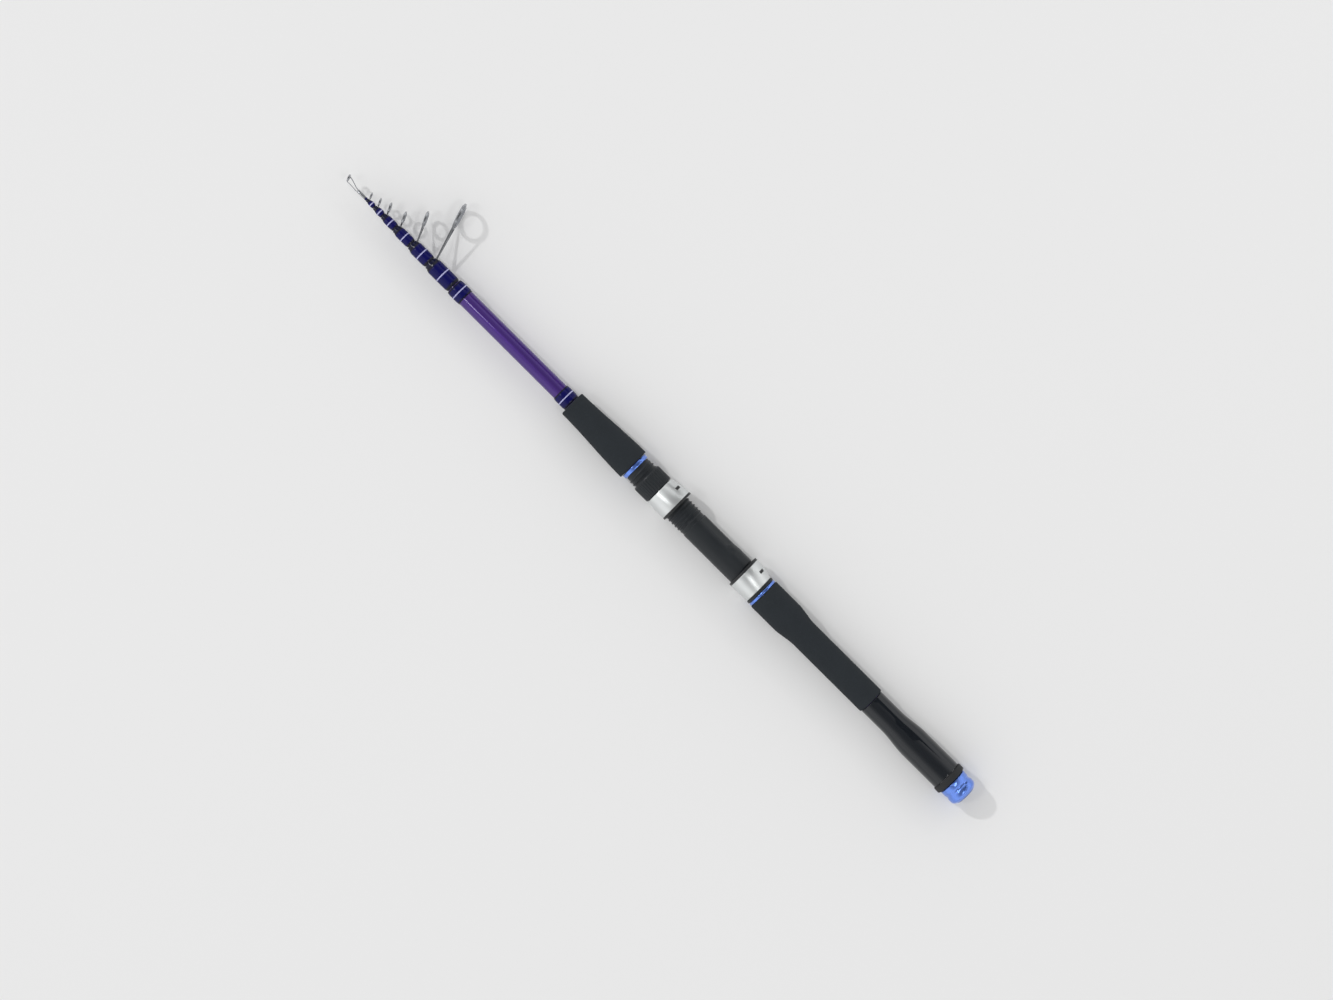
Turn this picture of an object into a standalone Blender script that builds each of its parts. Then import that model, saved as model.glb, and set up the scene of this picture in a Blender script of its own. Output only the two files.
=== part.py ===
"""Telescopic fishing rod in eight sections, closed, lying on its side with its line guides flat.

The rod's axis is X, from the middle of the butt's end face at the origin to the tip at +X. Up is +Z.
The line guides stand out to -Y, turned a little down so that the largest ring meets the same floor as
the grips. The reel is carried on the same side, turned a little up.
"""

import math

import bpy
import bmesh
from mathutils import Matrix, Vector

MM = 0.001

# Clearances between neighbouring pieces.
GLUE_GAP = 0.15 * MM
SLIDE_GAP = 0.25 * MM
REST_GAP = 0.3 * MM
SEAT_GAP = 0.12 * MM
THREAD_CLEARANCE = 0.2 * MM

# Facets round the axis.
TUBE_SIDES = 16
BODY_SIDES = 20
NUT_SIDES = 36
RING_SIDES = 16

# The butt tube's outer radius at its rear end, on which the whole handle is built.
BUTT_RADIUS = 7.75 * MM

# Screw cap, from the rod's end face at X = 0, with its disc, sealing ring and cushion.
END_DISC_RADIUS = 7.4 * MM
END_DISC_DEPTH = 1.5 * MM
END_DISC_PROUD = 0.4 * MM
CAP_FACE_WALL = 0.9 * MM
CAP_HEAD_LENGTH = 14.2 * MM
CAP_CHAMFER_LENGTH = 2.2 * MM
CAP_OVERHANG = 0.75 * MM
CAP_COVE_SETBACK = 6.0 * MM
CAP_COVE_WIDTH = 3.6 * MM
CAP_COVE_DEPTH = 0.6 * MM
CAP_EDGE_LENGTH = 0.7 * MM
CAP_EDGE_DROP = 0.525 * MM
CAP_FLOOR_WALL = 4.5 * MM
CAP_BORE_RADIUS = 6.5 * MM
CAP_STEM_WALL = 1.8 * MM
CAP_THREAD_HEIGHT = 0.5 * MM
CAP_THREAD_PITCH = 2.0 * MM
CAP_THREAD_TURNS = 5
CAP_THREAD_LEAD = 3.0 * MM
CAP_STEM_LEAD = 0.4 * MM
O_RING_WIDTH = 1.2 * MM
O_RING_WALL = 1.6 * MM
PAD_THICKNESS = 2.7 * MM
PAD_RIM = 0.9 * MM
PAD_PLUG_LENGTH = 5.0 * MM

CAP_FACE_X = END_DISC_PROUD
CAP_FLANGE_X = CAP_FACE_X + CAP_HEAD_LENGTH
CAP_COVE_X = CAP_FLANGE_X - CAP_COVE_SETBACK
CAP_BORE_FLOOR_X = END_DISC_DEPTH + CAP_FLOOR_WALL
CAP_FACE_RADIUS = END_DISC_RADIUS + CAP_FACE_WALL
CAP_THREAD_ROOT = CAP_BORE_RADIUS + CAP_STEM_WALL
CAP_THREAD_CREST = CAP_THREAD_ROOT + CAP_THREAD_HEIGHT
CAP_THREAD_X = CAP_FLANGE_X + CAP_THREAD_LEAD
CAP_THREAD_END_X = CAP_THREAD_X + (CAP_THREAD_TURNS + 2) * CAP_THREAD_PITCH
CAP_STEM_END_X = CAP_THREAD_END_X + CAP_STEM_LEAD
PAD_FACE_X = CAP_STEM_END_X + REST_GAP + PAD_THICKNESS
PAD_RADIUS = CAP_BORE_RADIUS + PAD_RIM

# Threaded insert, the ring at the butt and the flared sleeve.
INSERT_WALL = 1.5 * MM
INSERT_OVERHANG = 1.0 * MM
BUTT_RING_GAP = 0.5 * MM
BUTT_RING_LENGTH = 5.1 * MM
SLEEVE_WALL = 1.15 * MM
SLEEVE_WIDE_LENGTH = 32.8 * MM
SLEEVE_CONE_LENGTH = 23.0 * MM
SLEEVE_NECK_LENGTH = 20.2 * MM
SLEEVE_NECK_WALL = 2.15 * MM

INSERT_X = CAP_FLANGE_X + GLUE_GAP + O_RING_WIDTH + SLIDE_GAP
INSERT_END_X = PAD_FACE_X + INSERT_OVERHANG
INSERT_RADIUS = CAP_THREAD_CREST + THREAD_CLEARANCE + INSERT_WALL
CAP_RADIUS = INSERT_RADIUS + CAP_OVERHANG
BUTT_RING_X = CAP_FLANGE_X + BUTT_RING_GAP
BUTT_RING_END_X = BUTT_RING_X + BUTT_RING_LENGTH
SLEEVE_RADIUS = INSERT_RADIUS + GLUE_GAP + SLEEVE_WALL
SLEEVE_NECK_RADIUS = BUTT_RADIUS + SLEEVE_NECK_WALL
SLEEVE_FLARE_X = BUTT_RING_END_X + SLEEVE_WIDE_LENGTH
SLEEVE_NECK_X = SLEEVE_FLARE_X + SLEEVE_CONE_LENGTH
SLEEVE_END_X = SLEEVE_NECK_X + SLEEVE_NECK_LENGTH

# Rear grip of foam, with a cone up to its wide end.
GRIP_WALL = 5.15 * MM
GRIP_EDGE = 2.4 * MM
REAR_GRIP_WALL = 2.95 * MM
REAR_GRIP_NARROW_LENGTH = 70.8 * MM
REAR_GRIP_CONE_LENGTH = 13.0 * MM
REAR_GRIP_WIDE_LENGTH = 25.7 * MM

GRIP_RADIUS = BUTT_RADIUS + GRIP_WALL
REAR_GRIP_NARROW_RADIUS = BUTT_RADIUS + REAR_GRIP_WALL
REAR_GRIP_CONE_X = SLEEVE_END_X + REAR_GRIP_NARROW_LENGTH
REAR_GRIP_WIDE_X = REAR_GRIP_CONE_X + REAR_GRIP_CONE_LENGTH
REAR_GRIP_END_X = REAR_GRIP_WIDE_X + REAR_GRIP_WIDE_LENGTH

# Reel seat: its barrel on two arbors, then the ring, collar and hoods over the barrel.
ARBOR_WALL = 0.85 * MM
ARBOR_LENGTH = 20.0 * MM
ARBOR_INSET = 6.0 * MM
BARREL_WALL = 2.0 * MM
BARREL_THREAD_PROUD = 0.2 * MM
BARREL_THREAD_DEPTH = 0.7 * MM
BARREL_THREAD_PITCH = 3.0 * MM
BARREL_THREAD_LENGTH = 57.4 * MM
BARREL_SPIGOT_STEP = 0.6 * MM
FRONT_CHECK_WALL = 1.65 * MM
FRONT_CHECK_LENGTH = 3.4 * MM
CHECK_WALL = 1.8 * MM
REAR_CHECK_LENGTH = 2.1 * MM
COLLAR_LENGTH = 2.0 * MM
CHECK_EDGE_SHARE = 0.2
RAMP_LEAD = 0.7 * MM
RAMP_LENGTH = 18.0 * MM
RAMP_HEIGHT = 0.8 * MM
RAMP_HALF_ANGLE = math.radians(60.0)
BED_LEAD = 1.0 * MM
BED_LENGTH = 27.0 * MM
THREAD_LEAD = 1.6 * MM
HOOD_LENGTH = 15.8 * MM
HOOD_LIP = 1.8 * MM
HOOD_NECK_ROOM = 1.1 * MM
HOOD_FLARE = 1.5 * MM
HOOD_MOUTH_OFFSET = 1.3 * MM
HOOD_WALL = 0.45 * MM
HOOD_STATIONS = 5
HOOD_FLOOR_SHARE = 0.25
HOOD_STEP_SHARE = 0.6
LINER_GAP = 0.1 * MM
LINER_WALL = 0.4 * MM
SLOT_LENGTH = 2.2 * MM
SLOT_WIDTH = 5.4 * MM
SLIDING_HOOD_SETBACK = 22.6 * MM
NUT_GAP = 0.4 * MM
NUT_LENGTH = 13.4 * MM
NUT_WALL = 1.25 * MM
NUT_KNURL_DEPTH = 0.35 * MM
NUT_CHAMFER = 1.2 * MM
NUT_THREAD_TURNS = 2

BARREL_BORE_RADIUS = BUTT_RADIUS + ARBOR_WALL
BARREL_RADIUS = BARREL_BORE_RADIUS + BARREL_WALL
BARREL_THREAD_CREST = BARREL_RADIUS + BARREL_THREAD_PROUD
BARREL_THREAD_ROOT = BARREL_THREAD_CREST - BARREL_THREAD_DEPTH
BARREL_SPIGOT_RADIUS = BARREL_THREAD_ROOT - BARREL_SPIGOT_STEP
FRONT_CHECK_RADIUS = BARREL_SPIGOT_RADIUS + FRONT_CHECK_WALL
CHECK_RADIUS = BARREL_RADIUS + CHECK_WALL
HOOD_NECK_RADIUS = BARREL_THREAD_CREST + HOOD_NECK_ROOM
HOOD_MOUTH_RADIUS = HOOD_NECK_RADIUS + HOOD_FLARE
NUT_RADIUS = BARREL_THREAD_CREST + NUT_WALL
BARREL_X = REAR_GRIP_END_X + REST_GAP
COLLAR_X = BARREL_X + REAR_CHECK_LENGTH + REST_GAP
FIXED_HOOD_X = COLLAR_X + COLLAR_LENGTH + REST_GAP
RAMP_FROM_X = FIXED_HOOD_X + HOOD_LENGTH + HOOD_LIP + RAMP_LEAD
RAMP_TO_X = RAMP_FROM_X + RAMP_LENGTH
BED_FROM_X = RAMP_TO_X + BED_LEAD
BED_TO_X = BED_FROM_X + BED_LENGTH
BARREL_THREAD_X = BED_TO_X + THREAD_LEAD
BARREL_FRONT_X = BARREL_THREAD_X + BARREL_THREAD_LENGTH
SLIDING_HOOD_X = BARREL_FRONT_X - SLIDING_HOOD_SETBACK
FRONT_CHECK_X = BARREL_FRONT_X + REST_GAP

# Fore grip of foam, drawn in towards the tip along a smooth curve.
FORE_GRIP_LENGTH = 62.3 * MM
FORE_GRIP_END_WALL = 2.55 * MM
GRIP_CURVE_SHARES = (0.25, 0.45, 0.7, 0.93)

FORE_GRIP_X = FRONT_CHECK_X + FRONT_CHECK_LENGTH + REST_GAP
FORE_GRIP_END_X = FORE_GRIP_X + FORE_GRIP_LENGTH
FORE_GRIP_END_RADIUS = BUTT_RADIUS + FORE_GRIP_END_WALL

# The eight tubes: how far the butt tube shows past the fore grip, how much further the front end of
# each next tube stands when the rod is closed, and the outer radius and wall at each front end.
BLANK_SHOWN = 119.7 * MM
BLANK_GRIP_END_RADIUS = 6.4 * MM
SECTION_STEPS = [24.0 * MM, 18.7 * MM, 16.2 * MM, 12.9 * MM, 8.7 * MM, 7.9 * MM, 8.6 * MM]
SECTION_FRONT_RADII = [6.3 * MM, 5.15 * MM, 4.2 * MM, 3.3 * MM, 2.55 * MM, 1.9 * MM, 1.3 * MM, 0.7 * MM]
SECTION_WALLS = [0.75 * MM, 0.6 * MM, 0.55 * MM, 0.5 * MM, 0.45 * MM, 0.4 * MM, 0.35 * MM]
SEAT_LENGTH = 60.0 * MM

BLANK_GRIP_END_X = FORE_GRIP_END_X - REST_GAP
SECTION_REAR_X = PAD_FACE_X + REST_GAP
BUTT_REAR_X = INSERT_END_X + REST_GAP
BUTT_FRONT_X = FORE_GRIP_END_X + BLANK_SHOWN
SECTION_FRONTS = [BUTT_FRONT_X + sum(SECTION_STEPS[:i]) for i in range(len(SECTION_STEPS) + 1)]

# Thread wraps round the front of each tube, over the foot of its guide, and their trim bands.
WRAP_RADII = [6.9 * MM, 6.2 * MM, 5.2 * MM, 4.1 * MM, 3.25 * MM, 2.5 * MM, 1.85 * MM]
WRAP_REAR_GAP = 0.6 * MM
WRAP_TAPER = 2.2 * MM
WRAP_FRONT_SETBACK = 2.0 * MM
WRAP_LEAST_WALL = 0.2 * MM
FIRST_WRAP_LENGTH = 11.5 * MM
REAR_WRAP_LENGTH = 11.4 * MM
REAR_WRAP_RADIUS = 7.1 * MM
TIP_WRAP_WALL = 0.35 * MM
BAND_WIDTH = 0.9 * MM
BAND_WALL = 0.2 * MM

# Line guides on tubes two to seven: the ring's distance from the axis, the holder's outer radius,
# the lean towards the tip, and the widths and thickness of the sheet.
GUIDE_OFFSETS = [38.5 * MM, 19.8 * MM, 9.7 * MM, 7.6 * MM, 5.5 * MM, 4.2 * MM]
HOLDER_RADII = [10.4 * MM, 6.3 * MM, 4.9 * MM, 4.0 * MM, 3.1 * MM, 2.6 * MM]
GUIDE_LEANS = [math.radians(a) for a in (17.0, 25.0, 24.0, 24.0, 24.0, 24.0)]
LEG_WIDTHS = [1.5 * MM, 1.2 * MM, 1.0 * MM, 0.8 * MM, 0.7 * MM, 0.6 * MM]
HOLDER_WALLS = [1.1 * MM, 0.9 * MM, 0.7 * MM, 0.6 * MM, 0.45 * MM, 0.4 * MM]
INSERT_WALLS = [1.5 * MM, 1.1 * MM, 0.9 * MM, 0.75 * MM, 0.65 * MM, 0.55 * MM]
INSERT_DEPTHS = [2.8 * MM, 2.2 * MM, 1.8 * MM, 1.6 * MM, 1.3 * MM, 1.2 * MM]
FRAME_THICKNESSES = [1.4 * MM, 1.2 * MM, 1.0 * MM, 0.9 * MM, 0.75 * MM, 0.65 * MM]
FOOT_THICKNESS = 0.4 * MM
LEG_SETBACK = 1.2 * MM
LEG_JOIN_ANGLE = math.radians(40.0)
LEG_TOUCH_MARGIN = math.radians(2.0)
RIM_LOW_SIDES = 5  # an odd number
RIM_HIGH_SIDES = 16
LEG_FORK = 1.6
RING_EDGE_SHARE = 0.3

# Tip guide: a socket over the last tube with three wires out to its ring.
TIP_SOCKET_LENGTH = 6.5 * MM
TIP_SOCKET_WALL = 0.45 * MM
TIP_GUIDE_REACH = 11.9 * MM
TIP_RING_OFFSET = 1.9 * MM
TIP_HOLDER_RADIUS = 2.8 * MM
TIP_HOLDER_WALL = 0.45 * MM
TIP_INSERT_WALL = 0.65 * MM
TIP_HOLDER_DEPTH = 1.1 * MM
TIP_INSERT_DEPTH = 1.4 * MM
TIP_EDGE_SHARE = 0.2
TIP_WIRE_WIDTH = 0.6 * MM
TIP_WIRE_BITE = 0.6
TIP_LEAN = math.radians(20.0)
TIP_SIDE_WIRE_ANGLE = math.radians(60.0)

# A thread's ridge over one pitch, as shares of the pitch and of the ridge's height.
THREAD_PROFILE = ((0.25, 0.0), (0.5, 1.0), (0.75, 0.0))

# The reel's side of the seat is turned up from the horizontal by this angle.
REEL_TURN_UP = math.radians(38.0)
REEL_DIRECTION = math.pi - REEL_TURN_UP


def guide_turn_down():
    """Angle below the horizontal at which the largest ring meets the floor under the grips' flats."""
    floor = GRIP_RADIUS * math.cos(math.pi / BODY_SIDES)
    reach = math.hypot(GUIDE_OFFSETS[0], HOLDER_RADII[0])
    return math.asin(floor / reach) - math.atan2(HOLDER_RADII[0], GUIDE_OFFSETS[0])


GUIDE_DIRECTION = math.pi + guide_turn_down()

# First corner of each kind of cross-section: the tubes have a flat under the guides' feet, the grips
# a flat on the floor, and the reel seat a corner in the middle of the reel's bed.
TUBE_TURN = GUIDE_DIRECTION + math.pi / TUBE_SIDES
BODY_TURN = -math.pi / 2 + math.pi / BODY_SIDES
SEAT_TURN = REEL_DIRECTION


def section_bottom_radius(index):
    """Outer radius of a tube's rear end, which seats inside the front of the tube before it."""
    if index == 0:
        return BUTT_RADIUS
    return SECTION_FRONT_RADII[index - 1] - SECTION_WALLS[index - 1] - SEAT_GAP


def blank_radius(x):
    """Outer radius of the butt tube at a place along the rod."""
    if x >= BLANK_GRIP_END_X:
        share = (x - BLANK_GRIP_END_X) / (SECTION_FRONTS[0] - BLANK_GRIP_END_X)
        return BLANK_GRIP_END_RADIUS + share * (SECTION_FRONT_RADII[0] - BLANK_GRIP_END_RADIUS)
    share = (x - BUTT_REAR_X) / (BLANK_GRIP_END_X - BUTT_REAR_X)
    return BUTT_RADIUS + share * (BLANK_GRIP_END_RADIUS - BUTT_RADIUS)


def material(name, colour, roughness, metallic=0.0):
    made = bpy.data.materials.new(name)
    made.use_nodes = True
    shader = made.node_tree.nodes["Principled BSDF"]
    shader.inputs["Base Color"].default_value = (*colour, 1.0)
    shader.inputs["Roughness"].default_value = roughness
    shader.inputs["Metallic"].default_value = metallic
    made.diffuse_color = (*colour, 1.0)
    return made


def joint_empty(name, x):
    """An empty on the rod's axis, which carries the pieces of one moving body."""
    empty = bpy.data.objects.new(name, None)
    empty.location = (x, 0.0, 0.0)
    bpy.context.scene.collection.objects.link(empty)
    return empty


def point_outward(bm):
    """Turns all faces outward. It is done at a thousand times the size, because some faces are tiny."""
    bmesh.ops.scale(bm, vec=(1 / MM,) * 3, verts=bm.verts)
    bmesh.ops.recalc_face_normals(bm, faces=bm.faces)
    bmesh.ops.scale(bm, vec=(MM,) * 3, verts=bm.verts)


def add_object(name, bm, finish, body=None):
    """Makes an object from the mesh, whose points are in world places, and hangs it on its body."""
    point_outward(bm)
    if body is not None:
        bmesh.ops.translate(bm, verts=bm.verts, vec=-body.location)
    mesh = bpy.data.meshes.new(name)
    bm.to_mesh(mesh)
    bm.free()
    mesh.shade_smooth()
    mesh.set_sharp_from_angle(angle=math.radians(35.0))
    mesh.materials.append(finish)
    made = bpy.data.objects.new(name, mesh)
    bpy.context.scene.collection.objects.link(made)
    made.parent = body
    return made


def corner(x, radius, angle):
    return Vector((x, radius * math.cos(angle), radius * math.sin(angle)))


def add_ring(bm, x, radius, sides, turn):
    """One cross-section round the axis. The radius is a number, or a function of the angle."""
    angles = [turn + 2 * math.pi * i / sides for i in range(sides)]
    radii = [radius(angle) if callable(radius) else radius for angle in angles]
    return [bm.verts.new(corner(x, r, angle)) for r, angle in zip(radii, angles)]


def bridge(bm, first, second):
    count = len(first)
    for i in range(count):
        after = (i + 1) % count
        bm.faces.new((first[i], first[after], second[after], second[i]))


def turned(profile, sides, turn, bored=True):
    """A body turned about the rod's axis from (x, radius) points. A bored one closes on itself."""
    bm = bmesh.new()
    rings = [add_ring(bm, x, radius, sides, turn) for x, radius in profile]
    for first, second in zip(rings, rings[1:]):
        bridge(bm, first, second)
    if bored:
        bridge(bm, rings[-1], rings[0])
    else:
        bm.faces.new(rings[0])
        bm.faces.new(rings[-1])
    return bm


def add_thread(bm, rear_ring, front_ring, near_x, turns, pitch, base, ridge, phase, sides, turn):
    """A helical ridge between two plain rings, right-handed, faded in and out over half a turn.

    phase is the place along X where a ridge crosses the direction of angle zero.
    """
    start = near_x + (phase - near_x - pitch / 2 + pitch * turn / (2 * math.pi)) % pitch
    per_turn = len(THREAD_PROFILE)

    def point(row, side):
        whole, step = divmod(row, per_turn)
        share, height = THREAD_PROFILE[step]
        travelled = whole + side / sides
        fade = max(0.0, min(1.0, 2 * travelled, 2 * (turns - travelled)))
        radius = base + (ridge - base) * height * fade
        x = start + pitch * (travelled + share)
        return bm.verts.new(corner(x, radius, turn + 2 * math.pi * side / sides))

    grid = {}
    for row in range(per_turn * turns):
        for side in range(sides):
            grid[row, side] = point(row, side)
    for row in range(per_turn * turns, per_turn * (turns + 1)):
        grid[row, 0] = point(row, 0)
    for row in range(per_turn * turns):
        grid[row, sides] = grid[row + per_turn, 0]

    last = per_turn * turns - 1
    for row in range(last):
        for side in range(sides):
            bm.faces.new((grid[row, side], grid[row, side + 1], grid[row + 1, side + 1], grid[row + 1, side]))
    for side in range(sides - 1):
        bm.faces.new((rear_ring[side], rear_ring[side + 1], grid[0, side + 1], grid[0, side]))
    seam = [grid[row, 0] for row in range(per_turn + 1)]
    bm.faces.new((rear_ring[-1], rear_ring[0], *seam, grid[0, sides - 1]))
    for side in range(1, sides):
        after = (side + 1) % sides
        bm.faces.new((grid[last, side], grid[last, side + 1], front_ring[after], front_ring[side]))
    seam = [grid[last + row, 0] for row in range(per_turn, -1, -1)]
    bm.faces.new((grid[last, 1], front_ring[1], front_ring[0], *seam))


def temporary(bm):
    """A helper object for one Boolean step, at a thousand times the size."""
    bmesh.ops.scale(bm, vec=(1 / MM,) * 3, verts=bm.verts)
    bmesh.ops.recalc_face_normals(bm, faces=bm.faces)
    mesh = bpy.data.meshes.new("helper")
    bm.to_mesh(mesh)
    bm.free()
    helper = bpy.data.objects.new("helper", mesh)
    bpy.context.scene.collection.objects.link(helper)
    return helper


def combined(base, others, operation):
    """The base mesh after a Boolean with each of the others, as a new mesh."""
    main = temporary(base)
    helpers = [temporary(other) for other in others]
    for helper in helpers:
        step = main.modifiers.new("step", "BOOLEAN")
        step.operation = operation
        step.solver = "EXACT"
        step.object = helper
    graph = bpy.context.evaluated_depsgraph_get()
    result = bmesh.new()
    result.from_mesh(main.evaluated_get(graph).to_mesh())
    for helper in (main, *helpers):
        bpy.data.objects.remove(helper)
    bmesh.ops.remove_doubles(result, verts=result.verts, dist=0.00002)
    bmesh.ops.scale(result, vec=(MM,) * 3, verts=result.verts)
    return result


def bar(start, end, side, start_width, end_width, thickness):
    """A tapered flat bar between two points. side is the direction of its width."""
    along = (end - start).normalized()
    side = side.normalized()
    face = along.cross(side)
    corners = ((1, 1), (-1, 1), (-1, -1), (1, -1))
    bm = bmesh.new()
    ends = []
    for point, width in ((start, start_width), (end, end_width)):
        across = side * width / 2
        deep = face * thickness / 2
        ends.append([bm.verts.new(point + a * across + b * deep) for a, b in corners])
    bridge(bm, ends[0], ends[1])
    bm.faces.new(ends[0])
    bm.faces.new(ends[1])
    return bm


def hoop(outer, inner, depth, edge, matrix, sides=RING_SIDES):
    """A short ring about its own X axis, six-sided in section, put in place by a matrix."""
    half = depth / 2
    middle = (outer + inner) / 2
    profile = [
        (-half + edge, outer),
        (half - edge, outer),
        (half, middle),
        (half - edge, inner),
        (-half + edge, inner),
        (-half, middle),
    ]
    bm = turned(profile, sides, 0.0)
    bmesh.ops.transform(bm, matrix=matrix, verts=bm.verts)
    return bm


def guide_matrix(x, direction):
    """Local axes of a guide: X along the rod, Y away from it, Z across."""
    return Matrix.Translation((x, 0.0, 0.0)) @ Matrix.Rotation(direction, 4, "X")


def make_sections(finishes, bodies):
    """The eight tubes. Each one's bore is its outside less its wall, and the last is solid."""
    wall = SECTION_WALLS[0]
    outside = [(BUTT_REAR_X, BUTT_RADIUS), (BLANK_GRIP_END_X, BLANK_GRIP_END_RADIUS)]
    outside.append((SECTION_FRONTS[0], SECTION_FRONT_RADII[0]))
    inside = [(x, r - wall) for x, r in reversed(outside)]
    add_object("butt_section", turned(outside + inside, TUBE_SIDES, TUBE_TURN), finishes["purple"])
    for index in range(1, len(SECTION_FRONTS)):
        bottom = section_bottom_radius(index)
        front = SECTION_FRONTS[index]
        outside = [(SECTION_REAR_X, bottom), (SECTION_REAR_X + SEAT_LENGTH, bottom)]
        outside.append((front, SECTION_FRONT_RADII[index]))
        tip = index == len(SECTION_FRONTS) - 1
        if tip:
            bm = turned(outside, TUBE_SIDES, TUBE_TURN, bored=False)
        else:
            wall = SECTION_WALLS[index]
            inside = [(x, r - wall) for x, r in reversed(outside)]
            bm = turned(outside + inside, TUBE_SIDES, TUBE_TURN)
        add_object(f"section_{index + 1}", bm, finishes["navy"], bodies[index])


def raised_flat(base, height):
    """Radius by angle: round, but with the flat under the guide's foot lifted to a height."""
    lifted = height / math.cos(math.pi / TUBE_SIDES)

    def radius(angle):
        away = (angle - GUIDE_DIRECTION + math.pi) % (2 * math.pi) - math.pi
        return max(base, lifted) if abs(away) < 1.5 * math.pi / TUBE_SIDES else base

    return radius


def outside_radius(index, x):
    """Outer radius of a tube near its front end."""
    if index == 0:
        return blank_radius(x)
    start = SECTION_REAR_X + SEAT_LENGTH
    share = (x - start) / (SECTION_FRONTS[index] - start)
    bottom = section_bottom_radius(index)
    return bottom + share * (SECTION_FRONT_RADII[index] - bottom)


def foot_heights(index):
    """Heights of the underside and top of a guide's foot, above the rod's axis."""
    rear = SECTION_FRONTS[index - 1]
    under = outside_radius(index, rear) * math.cos(math.pi / TUBE_SIDES) + GLUE_GAP
    return under, under + FOOT_THICKNESS


def wrap(index, rear_x, front_x, radius, over_foot):
    """A thread wrap: a thin sleeve with tapered ends, lifted over the guide's foot if there is one."""
    bore = outside_radius(index, rear_x) + GLUE_GAP
    edge = bore + WRAP_LEAST_WALL
    if over_foot:
        top = foot_heights(index)[1] + GLUE_GAP
        inner = raised_flat(bore, top)
        cover = top + WRAP_LEAST_WALL
    else:
        inner = bore
        cover = 0.0
    profile = [
        (rear_x, raised_flat(edge, cover)),
        (rear_x + WRAP_TAPER, raised_flat(radius, cover)),
        (front_x - WRAP_TAPER, raised_flat(radius, cover)),
        (front_x, raised_flat(edge, cover)),
        (front_x, inner),
        (rear_x, inner),
    ]
    return turned(profile, TUBE_SIDES, TUBE_TURN)


def band(x, radius, cover):
    """A trim band round a wrap."""
    inside = radius + GLUE_GAP
    outside = inside + BAND_WALL
    lift = cover + GLUE_GAP if cover else 0.0
    outer_lift = lift + BAND_WALL if cover else 0.0
    profile = [
        (x - BAND_WIDTH / 2, raised_flat(outside, outer_lift)),
        (x + BAND_WIDTH / 2, raised_flat(outside, outer_lift)),
        (x + BAND_WIDTH / 2, raised_flat(inside, lift)),
        (x - BAND_WIDTH / 2, raised_flat(inside, lift)),
    ]
    return turned(profile, TUBE_SIDES, TUBE_TURN)


def make_wraps(finishes, bodies):
    rear_x = FORE_GRIP_END_X + REST_GAP
    front_x = rear_x + REAR_WRAP_LENGTH
    add_object("wrap_1_rear", wrap(0, rear_x, front_x, REAR_WRAP_RADIUS, False), finishes["thread"])
    add_object("band_1_rear", band((rear_x + front_x) / 2, REAR_WRAP_RADIUS, 0.0), finishes["band"])
    front_x = SECTION_FRONTS[0] - REST_GAP
    rear_x = front_x - FIRST_WRAP_LENGTH
    add_object("wrap_1_front", wrap(0, rear_x, front_x, WRAP_RADII[0], False), finishes["thread"])
    add_object("band_1_front", band((rear_x + front_x) / 2, WRAP_RADII[0], 0.0), finishes["band"])
    for index in range(1, len(WRAP_RADII)):
        rear_x = SECTION_FRONTS[index - 1] + WRAP_REAR_GAP
        front_x = SECTION_FRONTS[index] - WRAP_FRONT_SETBACK
        cover = foot_heights(index)[1] + GLUE_GAP + WRAP_LEAST_WALL
        middle = (rear_x + front_x) / 2
        made = wrap(index, rear_x, front_x, WRAP_RADII[index], True)
        add_object(f"wrap_{index + 1}", made, finishes["thread"], bodies[index])
        made = band(middle, WRAP_RADII[index], cover)
        add_object(f"band_{index + 1}", made, finishes["band"], bodies[index])


def rim_angles(right, half_step):
    """Angles round a holder from its lower right joint, clockwise past the bottom, and all the way round.

    An angle is measured from the top of the holder, and right is the middle of the right leg's joint.
    Each leg joins the holder along one short side.
    """
    left = 2 * math.pi - right
    low = [right + half_step, left - half_step]
    high = [left + half_step, right - half_step + 2 * math.pi]
    angles = []
    for (start, end), count in ((low, RIM_LOW_SIDES), (high, RIM_HIGH_SIDES)):
        angles += [start + (end - start) * i / count for i in range(count + 1)]
    return angles


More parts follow.
